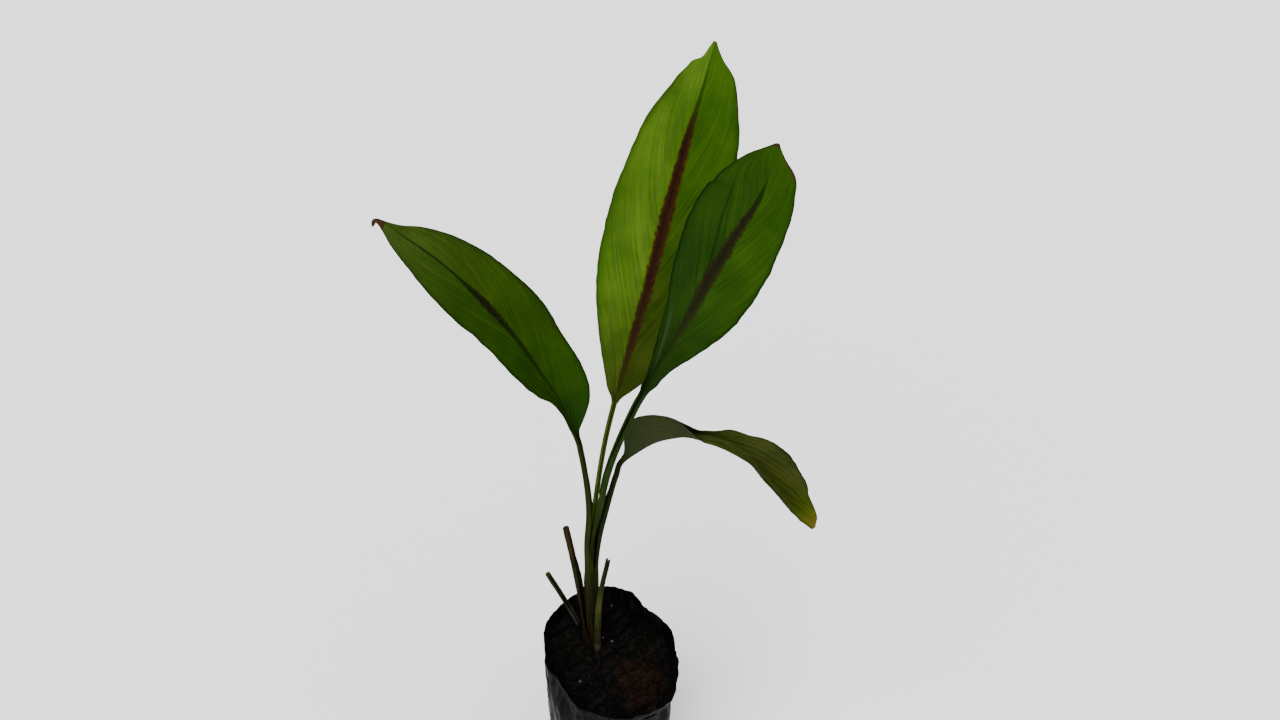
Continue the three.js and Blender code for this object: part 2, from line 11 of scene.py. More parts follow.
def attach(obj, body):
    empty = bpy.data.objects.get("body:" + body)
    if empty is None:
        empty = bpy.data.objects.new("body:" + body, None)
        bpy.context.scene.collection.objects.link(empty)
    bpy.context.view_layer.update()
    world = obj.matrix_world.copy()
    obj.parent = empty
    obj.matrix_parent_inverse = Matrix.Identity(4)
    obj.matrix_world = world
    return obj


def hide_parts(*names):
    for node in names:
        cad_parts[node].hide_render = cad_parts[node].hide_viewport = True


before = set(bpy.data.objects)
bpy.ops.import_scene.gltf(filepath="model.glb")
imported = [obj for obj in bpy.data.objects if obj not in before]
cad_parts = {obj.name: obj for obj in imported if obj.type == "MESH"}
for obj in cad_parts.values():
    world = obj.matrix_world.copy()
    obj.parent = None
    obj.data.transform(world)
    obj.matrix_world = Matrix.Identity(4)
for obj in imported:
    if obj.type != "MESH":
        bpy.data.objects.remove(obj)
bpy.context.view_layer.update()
rng = np.random.default_rng(11)

MM = 0.001

# Stem of rolled sheaths
STEM_FOOT = (-15.6, 17.5, 137)
STEM_LEAN = (0.026, 0.004)
CROWN_Z = 104
SHEATH_ROWS = (0, 0.4, 0.82, 1)
SHEATH_THICK = 0.75
SHEATH_WRAP = 130
SHEATH_START = 0.08  # just above the rhizome, in rows

# Channelled stalk, at a scale of one
STALK_RADIUS = 0.8
STALK_THICK = 1.1
STALK_WRAP = 150

# Blade
BLADE_THICK = 0.5
RIB_DEPTH = 1.1
RIB_WIDTH = 1.5
GROOVE_DEPTH = 0.35
GROOVE_WIDTH = 1.1
GUTTER = 3
BLADE_OPENS = 0.08
BLADE_ENDS = 0.9
WAVE_STARTS = (0.05, 0.25)
WAVE_SHIFT = 0.37
VEIN_LEAN = (0.3, 0.18)  # how far veins run ahead between midrib and margin, in shares of the blade
PLEAT = 14  # from pleat to pleat along the midrib
PLEAT_HEIGHT = 0.35
VEIN_SPACING = 2.4
RIB_LINE = 0.5  # half width of the line along the midrib
STALK_STEP = 0.1
# How the margins wander: [share of the half width, turns along the blade, how far the sides differ]
MARGIN_WANDERS = ((0.02, 9, 5), (0.014, 38, 3))
MARGIN_THINS = 0.55  # share of its thickness that the blade loses towards the margin
PLEAT_DRIFT = 31  # length over which the pleats' spacing wanders
SWELL = (0.9, 24)  # height of the blade's slow swell, and its length
RUFFLE = (1.1, 9)  # the same of the ruffled margin
STRIPE_SOFT = (0.45, 0.6)  # softness of the band as a share of its half width, and the least width counted
RED_WIDTHS = (0.8, 2)  # half widths between which the band turns from dark to maroon
GREENING = (230, 330)  # heights between which the sheaths' colour turns into the stalks'
BLADE_STEPS = 190
MEASURING = 60
TANGENT_REACH = 0.02
CREASE_FADE = 0.08  # share of the blade over which a crease fades out at either end
HALF_CELLS = (
    0, 0.012, 0.026, 0.043, 0.065, 0.095, 0.13, 0.17, 0.215, 0.26, 0.31, 0.36, 0.41, 0.46, 0.51,
    0.56, 0.61, 0.66, 0.71, 0.76, 0.81, 0.86, 0.9, 0.935, 0.962, 0.982, 0.994, 1,
)

# Each leaf much as its solid has it, then its looks. Rows of stalk and blade hold a place and where the
# upper face looks. Outline: [share of the blade, left and right half width, fold in the gutter, bend of a
# half]. Stripe: [share of the blade, half width of the maroon band, how dark it is]. Creases: [from and to
# share of the blade, share of the half width at either end, half width of the line, painted shade in a
# crease above zero and a painted highlight below]. Left and right: the halves' colours along the blade,
# alike where only left is given; besides their green they hold painted light and shade, one half or stretch
# lighter or darker as light falls on it. Streak: the colour of painted glints, short bright streaks of
# light
# along the veins. Edge: how dark the margin's line is. Sheath_green and stalk_green: the colours below and
# above. Rib_light: how light the midrib is.
LEAVES = {
    "leaf_tall": {
        "bearing": 120, "sheath": 1.04, "leaves": 256, "scale": 1.3, "roll": None,
        "stalk": [
            [-10.1, 19.5, 279, 0.5, -0.87, 0], [-7.4, 20.8, 300, 0.5, -0.87, 0],
            [-1.6, 24.6, 337, 0.4, -0.9, 0.1],
        ],
        "blade": [
            [5.5, 28.5, 368.5, 0.2, -0.95, 0.25], [13.9, 31, 401, 0.1, -0.96, 0.25],
            [21.6, 33, 431, 0.05, -0.96, 0.25], [28.4, 36, 458, 0, -0.96, 0.25],
            [36, 41, 491, 0, -0.96, 0.25], [45.3, 48, 527, 0, -0.96, 0.25],
            [53.5, 54.5, 555, 0, -0.96, 0.25], [59.4, 62, 577, 0, -0.96, 0.25],
        ],
        "outline": [
            [0.03, 6, 5, 30, 60], [0.06, 9.5, 9, 25, 35], [0.1, 12.5, 14, 20, 20], [0.2, 20, 24, 12, 14],
            [0.3, 26.5, 30, 8, 12], [0.4, 31.3, 33, 6, 12], [0.5, 32.5, 34, 6, 12],
            [0.6, 31.5, 33, 6, 12], [0.7, 29, 30.5, 6, 12], [0.8, 24.5, 26.3, 6, 14],
            [0.9, 15.5, 18.2, 6, 14], [0.93, 11.3, 15, 6, 13], [0.948, 8.8, 11, 6, 12],
            [0.96, 4.6, 7.6, 5, 10], [0.98, 2.6, 3.8, 4, 6], [1, 0.8, 0.8, 0, 4],
        ],
        "wave": (1.4, 3.5, 0.1),
        "stripe": [
            [0, 0.7, 0.3], [0.1, 1.7, 0.7], [0.2, 2.6, 0.9], [0.3, 2.9, 0.95], [0.4, 3.2, 1],
            [0.5, 3.4, 1], [0.58, 3.7, 1], [0.65, 3, 1], [0.74, 2.7, 1], [0.8, 2, 0.95], [0.86, 1.1, 0.8],
            [0.93, 0.6, 0.7], [1, 0.4, 0],
        ],
        "stripe_tint": (0.0185, 0.0068, 0.0028), "stripe_edge": (0.03, 0.009, 0.002),
        "creases": [(0.25, 0.9, -0.2, -0.35, 0.7, -0.25), (0.1, 0.6, -0.62, -0.7, 0.9, -0.2)],
        "left": [(0, (0.036, 0.052, 0.006)), (0.35, (0.042, 0.092, 0.005)), (1, (0.044, 0.098, 0.006))],
        "right": [
            (0, (0.02, 0.03, 0.003)), (0.35, (0.015, 0.032, 0.002)), (0.5, (0.016, 0.04, 0.002)),
            (0.7, (0.017, 0.051, 0.001)), (1, (0.021, 0.058, 0.002)),
        ],
        "painted_glint": (0.085, 0.118, 0.012), "edge": 0.5,
        "sheath_green": (0.012, 0.02, 0.003), "stalk_green": (0.035, 0.052, 0.005), "rib_light": 0,
    },
    "leaf_front": {
        "bearing": 5, "sheath": 2.85, "leaves": 256, "narrow": 85, "scale": 1.85,
        "roll": [(0.45, 105), (0.1, 140)],
        "stalk": [
            [-4.1, 16.7, 284, -0.93, 0.3, 0], [-1.6, 16.8, 300, -0.95, 0, 0],
            [2.7, 17.4, 322, -0.88, -0.4, 0], [9.6, 16.9, 347, -0.7, -0.65, 0.1],
        ],
        "blade": [
            [20.5, 13.2, 381.5, -0.4, -0.9, 0.25], [33.5, 9.5, 414, -0.35, -0.92, 0.25],
            [46.7, 6.5, 444, -0.3, -0.93, 0.22], [58.6, 4, 474.6, -0.25, -0.94, 0.2],
            [70, 1.5, 501, -0.2, -0.95, 0.2], [80.3, -1, 524, -0.15, -0.95, 0.2],
            [84.9, -5, 551, -0.1, -0.95, 0.2],
        ],
        "outline": [
            [0.05, 3.3, 5, 30, 90], [0.1, 4.2, 7, 32, 45], [0.2, 6.6, 9.2, 25, 25],
            [0.3, 10.6, 15.8, 18, 20], [0.4, 14.6, 21.6, 14, 16], [0.5, 18.9, 25.4, 12, 14],
            [0.6, 22.8, 26.6, 10, 14], [0.7, 26.5, 24.8, 8, 14], [0.8, 27, 20.3, 8, 14],
            [0.87, 25.2, 16, 8, 14], [0.92, 21.5, 13, 8, 12], [0.96, 13.5, 5.8, 6, 10],
            [0.985, 5, 2.4, 4, 6], [1, 0.8, 0.8, 0, 4],
        ],
        "wave": (1.6, 3, 0.45),
        "stripe": [
            [0, 0.4, 0.2], [0.2, 1, 0.4], [0.3, 1.8, 0.5], [0.36, 2.4, 0.6], [0.42, 2.9, 0.8],
            [0.54, 3.5, 0.9], [0.63, 3.2, 0.9], [0.72, 2.6, 0.9], [0.8, 1.6, 0.9], [0.86, 0.9, 0.8],
            [0.91, 0.4, 0.2], [1, 0.4, 0],
        ],
        "stripe_tint": (0.0095, 0.0064, 0.0032), "stripe_edge": (0.015, 0.0092, 0.0028),
        "creases": [(0.5, 0.9, -0.04, -0.66, 0.55, 0.7), (0.15, 0.44, -0.36, -0.82, 0.9, -0.5)],
        "left": [
            (0, (0.007, 0.019, 0.001)), (0.4, (0.008, 0.027, 0.0015)), (0.65, (0.0095, 0.031, 0.0018)),
            (0.85, (0.0145, 0.042, 0.002)), (1, (0.016, 0.046, 0.002)),
        ],
        "right": [
            (0, (0.008, 0.0185, 0.002)), (0.4, (0.0105, 0.031, 0.002)), (0.65, (0.0155, 0.044, 0.002)),
            (1, (0.016, 0.046, 0.002)),
        ],
        "painted_glint": (0.026, 0.05, 0.005), "edge": 0.8,
        "sheath_green": (0.01, 0.016, 0.003), "stalk_green": (0.01, 0.021, 0.0025), "rib_light": 0,
    },
    "leaf_left": {
        "bearing": 180, "sheath": 4.1, "leaves": 250, "narrow": 80, "scale": 1.45,
        "roll": [(0.5, 100), (0.15, 135)],
        "stalk": [
            [-14.3, 17.8, 276, 1, -0.1, 0], [-13.8, 17.4, 296, 0.97, -0.2, 0],
            [-14.6, 16.6, 318, 0.9, -0.4, 0], [-16.4, 15.2, 340, 0.8, -0.55, 0.1],
        ],
        "blade": [
            [-17.9, 12.5, 354.5, 0.65, -0.7, 0.3], [-25.3, 9, 386, 0.6, -0.72, 0.35],
            [-35.7, 6, 411, 0.52, -0.72, 0.45], [-47.4, 4, 436.5, 0.48, -0.7, 0.5],
            [-62.9, 0, 464, 0.43, -0.7, 0.55], [-80.4, -3, 488, 0.4, -0.7, 0.6],
            [-104.5, -4, 509.7, 0.35, -0.7, 0.6], [-109.8, -4, 508.6, 0.35, -0.7, 0.6],
        ],
        "outline": [
            [0.03, 3.3, 4.5, 35, 80], [0.06, 4.6, 7.4, 50, 30], [0.1, 5.4, 12, 52, 12],
            [0.145, 6.3, 16.5, 46, 10], [0.195, 8, 19.6, 38, 10], [0.29, 13.8, 22.6, 22, 10],
            [0.39, 17, 23.2, 14, 12], [0.485, 17.5, 23.5, 12, 12], [0.58, 19, 22.8, 10, 12],
            [0.68, 19.6, 20.8, 8, 12], [0.775, 17.5, 16.2, 8, 12], [0.875, 11.3, 9, 8, 10],
            [0.92, 8, 4.2, 6, 8], [0.955, 3.6, 1.9, 4, 6], [0.975, 1.4, 1.3, 0, 6], [1, 0.8, 0.8, 0, 4],
        ],
        "wave": (1.5, 3.2, 0.2),
        "stripe": [
            [0, 0.3, 0.2], [0.2, 0.6, 0.5], [0.36, 1.2, 0.8], [0.49, 1.4, 0.9], [0.58, 2.1, 1],
            [0.64, 1.8, 1], [0.72, 0.8, 0.9], [0.9, 0.5, 0.8], [0.95, 0.4, 0], [1, 0.2, 0],
        ],
        "stripe_tint": (0.0065, 0.0085, 0.0018), "stripe_edge": (0.0085, 0.0105, 0.0018), "creases": [],
        "left": [(0, (0.008, 0.027, 0.0005)), (0.5, (0.0095, 0.031, 0.0005)), (1, (0.025, 0.046, 0.006))],
        "right": [(0, (0.0075, 0.03, 0.0007)), (0.5, (0.0125, 0.034, 0.0008)), (1, (0.026, 0.048, 0.006))],
        "painted_glint": (0.026, 0.05, 0.003), "edge": 0.8,
        "sheath_green": (0.0125, 0.0155, 0.002), "stalk_green": (0.01, 0.0165, 0.0022), "rib_light": 0,
    },
    "leaf_drooping": {
        "bearing": 30, "sheath": 5.3, "leaves": 232, "narrow": 75, "scale": 1.5,
        "roll": [(0.55, 95), (0.2, 130)],
        "stalk": [
            [-5, 21, 258, -0.87, -0.45, 0], [-0.2, 22.8, 280, -0.87, -0.48, 0.1],
            [3.6, 24.7, 296, -0.85, -0.4, 0.3], [7, 26.2, 308, -0.8, -0.15, 0.5],
        ],
        "blade": [
            [11.2, 28, 319.1, -0.3, 0.37, 0.93], [28.8, 34, 329.5, 0, 0.37, 0.93],
            [45, 37.8, 331.9, 0, -0.1, 1], [58, 39, 331.8, 0, -0.72, 0.69], [77, 39, 326, 0, -0.66, 0.75],
            [92.5, 38, 313.5, 0, -0.46, 0.89], [108, 36, 294, 0, -0.36, 0.93],
            [126, 33, 271, 0, -0.34, 0.94], [143.8, 28, 255.8, 0, -0.3, 0.95],
        ],
        "outline": [
            [0.03, 5.5, 7.5, 50, 60], [0.06, 9, 16, 75, 10], [0.1, 13, 22.5, 82, 0],
            [0.15, 16, 23, 84, 0], [0.25, 14, 21, 84, 0], [0.33, 11, 18.5, 82, -2],
            [0.42, 18, 17, 72, -2], [0.54, 25, 16, 66, -2], [0.7, 23.5, 15, 60, 0],
            [0.8, 20.5, 13, 54, 4], [0.85, 15.6, 11.6, 52, 5], [0.9, 13, 10, 50, 6],
            [0.95, 9.8, 7.2, 45, 6], [0.985, 5.6, 4, 30, 6], [1, 0.8, 0.8, 10, 4],
        ],
        "wave": (1.1, 4.2, 0.6),
        "stripe": [[0, 0.2, 0], [0.3, 0.5, 0.2], [0.6, 0.6, 0.3], [1, 0.3, 0]],
        "stripe_tint": (0.006, 0.0055, 0.003), "stripe_edge": (0.009, 0.009, 0.003), "creases": [],
        # Lighter about a share of 0.34: painted light over the shaded fold where the blade twists.
        "left": [
            (0, (0.0125, 0.018, 0.004)), (0.28, (0.023, 0.031, 0.006)), (0.34, (0.055, 0.07, 0.012)),
            (0.45, (0.036, 0.05, 0.008)), (0.58, (0.0215, 0.031, 0.0045)), (0.8, (0.026, 0.035, 0.004)),
            (0.93, (0.046, 0.057, 0.003)), (0.975, (0.06, 0.052, 0.004)), (1, (0.075, 0.05, 0.006)),
        ],
        "painted_glint": (0.05, 0.06, 0.012), "edge": 0.8,
        "sheath_green": (0.008, 0.0115, 0.0015), "stalk_green": (0.009, 0.0145, 0.002), "rib_light": 0.3,
    },
}

OLD_SHEATH = {
    "bearing": 165, "sheath": 6.5, "leaves": 160, "wrap": 100, "narrow": 68, "scale": 1.75,
    "roll": [(0.6, 58), (0.25, 95)],
    "stalk": [
        [-22.1, 19.5, 180, 0.95, -0.3, 0], [-24, 20.4, 200, 0.92, -0.4, 0],
        [-27.2, 21.4, 233, 0.9, -0.4, 0], [-30.7, 22.4, 261.5, 0.9, -0.4, 0],
    ],
    "tints": [
        (0, (0.0085, 0.005, 0.0025)), (0.25, (0.01, 0.0065, 0.0025)), (0.5, (0.011, 0.011, 0.0035)),
        (0.82, (0.011, 0.0115, 0.0035)), (0.93, (0.02, 0.015, 0.005)), (1, (0.02, 0.012, 0.004)),
    ],
}

OLD_STEPS = 110
OLD_RIDGE = 0.2
OLD_CRUMPLE = 0.22
STUB_STEPS = 70
STUB_RIDGE = 0.16

STUBS = {
    "stub_front": {
        "scale": 1.9, "taper": 0.66, "facing": (0.6, 0.8, 0),
        "path": [[-12, 9, 109], [-10.8, 9.2, 140], [-7.8, 9.4, 196], [0, 8, 245.5]],
        "tints": [
            (0, (0.012, 0.006, 0.003)), (0.018, (0.036, 0.028, 0.022)), (0.036, (0.013, 0.014, 0.005)),
            (0.3, (0.02, 0.023, 0.006)), (0.5, (0.031, 0.039, 0.008)), (0.75, (0.014, 0.018, 0.004)),
            (1, (0.008, 0.01, 0.003)),
        ],
    },
    "stub_side": {
        "scale": 1.45, "taper": 1, "facing": (0.75, -0.66, 0),
        "path": [[-24, 30, 118], [-26.6, 30, 143], [-34.5, 29, 171], [-45.7, 27, 206.4]],
        "tints": [
            (0, (0.03, 0.028, 0.022)), (0.3, (0.028, 0.028, 0.02)), (0.5, (0.01, 0.009, 0.004)),
            (0.8, (0.017, 0.018, 0.006)), (1, (0.02, 0.023, 0.007)),
        ],
    },
}

# Bag
BAG_BASE_RADIUS = 44
BAG_BODY_RADIUS = 47
BAG_BULGE = 1.2
BAG_CORNER_HEIGHT = 9
BAG_SLUMP = -2.2  # how far the wall below the mouth leans sideways
FILM = 0.25
FILM_IOR = 1.05  # low, as the paler dust and scuffs paint in most of the film's sheen
FILM_SIDES = (-0.04, 0.04)  # from where it is purplish to where it is bluish, in metres
# Mouth: [bearing, radius, height]
MOUTH = (
    (0, 48, 152), (20, 48, 154), (55, 43, 157), (70, 49, 159), (95, 54, 159), (115, 56, 158),
    (130, 55, 157), (155, 54.5, 155), (165, 53.5, 154), (180, 48.5, 152), (190, 50, 151),
    (205, 44, 149), (225, 44.5, 147), (240, 48, 146), (255, 47, 145), (265, 48, 145),
    (280, 51, 145), (300, 53.5, 146), (310, 56, 147), (320, 58, 147.5), (335, 53.5, 149), (350, 51, 151),
)
MOUTH_SHARE = 0.8
FOLD_SHARE = (0.02, 0.3)
# Folds: [bearing, how far it drifts up the wall, half width, depth, phase of its swelling]
FOLDS = (
    (22, -6, 7, 3.5, 0), (62, 8, 6, 3, 2), (118, -5, 7, 3, 4), (152, 6, 6, 2.5, 1), (206, -7, 8, 4.5, 5),
    (232, 6, 5, 2.5, 3), (262, -4, 6, 3, 0), (294, 7, 7, 3.5, 2), (332, -6, 7, 4, 4),
)
FOLD_SWELL = 0.4
FOLD_TURNS = 5
BAG_SIDES = 340
BAG_LEVELS = 120
INNER_LEVELS = 36
INNER_START = 0.74  # share of the height from which the inner face is fine
BASE_INSIDE = 2  # height of the film's inner face at the base
WRINKLE = 0.8
RIDGE_LEVEL = 0.25  # taken off folded noise, so that wrinkles go both in and out
CRIMP = 0.7  # how far the mouth's edge wavers

# Soil
SOIL_LEVEL = 138
SOIL_SHARE = SOIL_LEVEL / 150  # where the soil meets the wall, as a share of its height
SOIL_SLOPE = 0.12  # rise towards the back
SOIL_INSET = 0.4
MOUND = (-20, 20, 3, 14)  # x, y, height, spread
LUMPS = ((1, 0.31, 0.12, 1), (0.8, -0.4, 0.53, 0), (0.6, 0.14, -0.37, 2))
CLOD_HEIGHT = 2.2
CLOD_LEVEL = 0.6
GRAINS = ((3.4, 2, 0.75), (1.3, 3, 0.3))
SOIL_SIDE_INSET = 1.4
SOIL_RINGS = 110
CRUMBS = 520
FIBRES = 26
FIBRE_BEND = 0.16
FIBRE_LENGTHS = (4, 13)
FIBRE_RADII = (0.12, 0.28)
# White bits: [x, y, size, how far it stands up as a share of its size]
WHITE_BITS = ((-0.9, 46, 1.3, 0.3), (-6.9, 17.6, 1, 0.3), (0.1, 15, 0.9, 0.3), (-22.8, -14.9, 1.1, 0.2))
RED_PATCH = (0.023, -0.014, 0.137)  # its middle, in metres
RED_REACH = (0.01, 0.026)
SOIL_OLIVE = (
    (0.3, (0.0005, 0.0006, 0.0004)), (0.55, (0.0014, 0.0015, 0.0009)), (0.8, (0.0048, 0.0047, 0.003)),
)
SOIL_PLUM = (
    (0.3, (0.0006, 0.0004, 0.0005)), (0.55, (0.0016, 0.001, 0.0013)), (0.8, (0.0046, 0.0033, 0.0038)),
)
SOIL_RED = (
    (0.3, (0.0017, 0.0006, 0.0003)), (0.55, (0.0062, 0.0026, 0.0013)), (0.8, (0.0165, 0.0078, 0.0038)),
)

# Camera, as the photo was taken
CAMERA_LENS = 24
CAMERA_SENSOR = 36
CAMERA_PLACE = (0.0216, -0.3774, 0.7073)
CAMERA_PITCH = 37

# Soft studio light: [name, strength, angle across in degrees, turn of the lamp in degrees]
SUNS = (("key", 5.2, 55, (38, 0, -35)), ("fill", 2.6, 80, (30, 0, 60)))
SKY = (0.95, 0.97, 1)
SKY_STRENGTH = 0.35
FLOOR_GREY = 0.86
FLOOR_HALF = 14  # metres

MATT = 0.02  # specular level of what hardly shines
LEAF_BROWN = (0.028, 0.015, 0.006)
FOOT_BROWN = (0.008, 0.0066, 0.002)
FOOT_REACH = (0.196, 0.222)  # heights between which the sheaths turn from brown to green, in metres
UNDERSIDE = (0.021, 0.028, 0.011)
# Colour of a painted highlight along a light crease of a blade.
PAINTED_CREASE_HIGHLIGHT = (0.034, 0.05, 0.02)
LIGHT_RIB = (0.05, 0.06, 0.025)


def smooth(low, high, x):
    t = np.clip((np.asarray(x, float) - low) / (high - low), 0, 1)
    return t * t * (3 - 2 * t)


def mix(a, b, t):
    return a + (b - a) * t


def hermite(a, slope_a, b, slope_b, t):
    """Cubic from a to b over a share t, with the slopes there."""
    return ((2 * t**3 - 3 * t**2 + 1) * a + (t**3 - 2 * t**2 + t) * slope_a
            + (3 * t**2 - 2 * t**3) * b + (t**3 - t**2) * slope_b)


def through(rows, u):
    """Smooth curve through rows of numbers, with u counting rows."""
    last = len(rows) - 1
    i = min(int(u), last - 1)
    before = rows[i - 1] if i > 0 else 2 * rows[0] - rows[1]
    after = rows[i + 2] if i + 2 <= last else 2 * rows[last] - rows[last - 1]
    return hermite(rows[i], (rows[i + 1] - before) / 2, rows[i + 1], (after - rows[i]) / 2, u - i)


def lookup(rows, key):
    """Smooth lookup in rows of [key, value, value...]."""
    last = len(rows) - 1
    i = 0
    while i < last - 1 and rows[i + 1][0] <= key:
        i += 1
    step = rows[i + 1][0] - rows[i][0]

    def slope(j):
        low, high = rows[max(j - 1, 0)], rows[min(j + 1, last)]
        return (high - low) / (high[0] - low[0]) * step

    t = min(max((key - rows[i][0]) / step, 0), 1)
    return hermite(rows[i], slope(i), rows[i + 1], slope(i + 1), t)[1:]


def wander(x, y=0.0, z=0.0):
    """Smooth noise between about -1 and 1."""
    return noise.noise(Vector((x, y, z)))


def heading(bearing):
    """Steps along x and y in the direction of a bearing in degrees."""
    turn = math.radians(bearing)
    return math.cos(turn), math.sin(turn)


def placed(name, data):
    """New object in the scene."""
    obj = bpy.data.objects.new(name, data)
    bpy.context.collection.objects.link(obj)
    return obj


def make(name, points, faces, material, node=None, attributes=None):
    """Object from points in millimetres, riding on the plant."""
    mesh = bpy.data.meshes.new(name)
    mesh.from_pydata((np.asarray(points) * MM).tolist(), [], faces)
    for key, values in (attributes or {}).items():
        layer = mesh.attributes.new(key, "FLOAT", "POINT")
        layer.data.foreach_set("value", np.asarray(values, np.float32))
    mesh.materials.append(material)
    mesh.shade_smooth()
    mesh.update()
    obj = placed(name, mesh)
    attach(obj, "root")
    if node:
        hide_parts(node)
    return obj


def ring_faces(rings, sides, first=0, outward=True):
    """Faces between closed rings of points, each ring above the last."""
    faces = []
    for r in range(rings - 1):
        for k in range(sides):
            a = first + r * sides + k
            b = first + r * sides + (k + 1) % sides
            quad = (a, b, b + sides, a + sides)
            faces.append(quad if outward else quad[::-1])
    return faces


def closed_rings(rings, first_middle, last_middle):
    """Points and faces of a closed body from equal rings, with a fan to a middle point at each end."""
    sides = len(rings[0])
    points = [point for ring in rings for point in ring]
    faces = ring_faces(len(rings), sides)
    first = len(points)
    top = first - sides
    for k in range(sides):
        n = (k + 1) % sides
        faces.append((first, n, k))
        faces.append((first + 1, top + k, top + n))
    return [*points, first_middle, last_middle], faces


class Look:
    """Node tree of a material, with short ways to add to it."""

    def __init__(self, name):
        self.material = bpy.data.materials.new(name)
        self.material.use_nodes = True
        self.tree = self.material.node_tree
        self.tree.nodes.clear()

    def add(self, kind, values=(), **settings):
        node = self.tree.nodes.new(kind)
        for key, value in settings.items():
            setattr(node, key, value)
        for key, value in dict(values).items():
            self.put(node.inputs[key], value)
        return node

    def put(self, socket, value):
        if isinstance(value, bpy.types.NodeSocket):
            self.tree.links.new(value, socket)
        elif isinstance(value, tuple) and socket.type == "RGBA":
            socket.default_value = (*value[:3], 1)
        else:
            socket.default_value = value

    def attribute(self, name):
        return self.add("ShaderNodeAttribute", attribute_name=name).outputs["Fac"]

    def math(self, operation, *values):
        return self.add("ShaderNodeMath", enumerate(values), operation=operation).outputs[0]

    def times(self, a, b):
        return self.math("MULTIPLY", a, b)

    def fit(self, value, low, high, to_low=0.0, to_high=1.0):
        """Value from low..high to to_low..to_high, eased and held at the ends."""
        node = self.add("ShaderNodeMapRange", interpolation_type="SMOOTHSTEP")
        for k, v in enumerate((value, low, high, to_low, to_high)):
            self.put(node.inputs[k], v)
        return node.outputs[0]

    def colour(self, factor, a, b, blend="MIX"):
        node = self.add("ShaderNodeMix", data_type="RGBA", blend_type=blend)
        self.put(node.inputs[0], factor)
        self.put(node.inputs[6], a)
        self.put(node.inputs[7], b)
        return node.outputs[2]

    def laid(self, below, above, value, low, high, most=1.0):
        """Colour with another laid over it as a value goes from low to high."""
        return self.colour(self.fit(value, low, high, 0.0, most), below, above)

    def tinted(self, colour, by):
        return self.colour(1.0, colour, by, "MULTIPLY")

    def ramp(self, value, stops):
        node = self.add("ShaderNodeValToRGB", {0: value})
        elements = node.color_ramp.elements
        while len(elements) < len(stops):
            elements.new(0.5)
        for element, (place, tint) in zip(elements, stops):
            element.position = place
            element.color = (*tint, 1)
        return node.outputs[0]

    def place(self, scale=(1.0, 1.0, 1.0)):
        """Place in the object in metres, times a scale along each axis."""
        node = self.add("ShaderNodeMapping", {0: self.add("ShaderNodeTexCoord").outputs["Object"]})
        node.inputs["Scale"].default_value = scale
        return node.outputs[0]

    def along(self, axis):
        """Place in the object along one axis, in metres."""
        return self.add("ShaderNodeSeparateXYZ", {0: self.place()}).outputs[axis]

    def vector(self, x, y, z=0.0):
        return self.add("ShaderNodeCombineXYZ", {0: x, 1: y, 2: z}).outputs[0]

    def noise(self, vector, scale, detail=3.0, roughness=0.55):
        values = {"Vector": vector, "Scale": scale, "Detail": detail, "Roughness": roughness}
        return self.add("ShaderNodeTexNoise", values).outputs[0]

    def shifted(self, value, noise, reach):
        """Value moved up or down by a noise."""
        return self.math("MULTIPLY_ADD", self.math("SUBTRACT", noise, 0.5), reach, value)

    def bump(self, height, strength, distance, normal=None):
        values = {"Height": height, "Strength": strength, "Distance": distance}
        if normal:
            values["Normal"] = normal
        return self.add("ShaderNodeBump", values).outputs[0]

    def finish(self, colour, roughness, specular, normal=None, **more):
        values = {"Base Color": colour, "Roughness": roughness, "Specular IOR Level": specular, **more}
        if normal:
            values["Normal"] = normal
        shader = self.add("ShaderNodeBsdfPrincipled", values)
        self.tree.links.new(shader.outputs[0], self.add("ShaderNodeOutputMaterial").inputs[0])
        return self.material


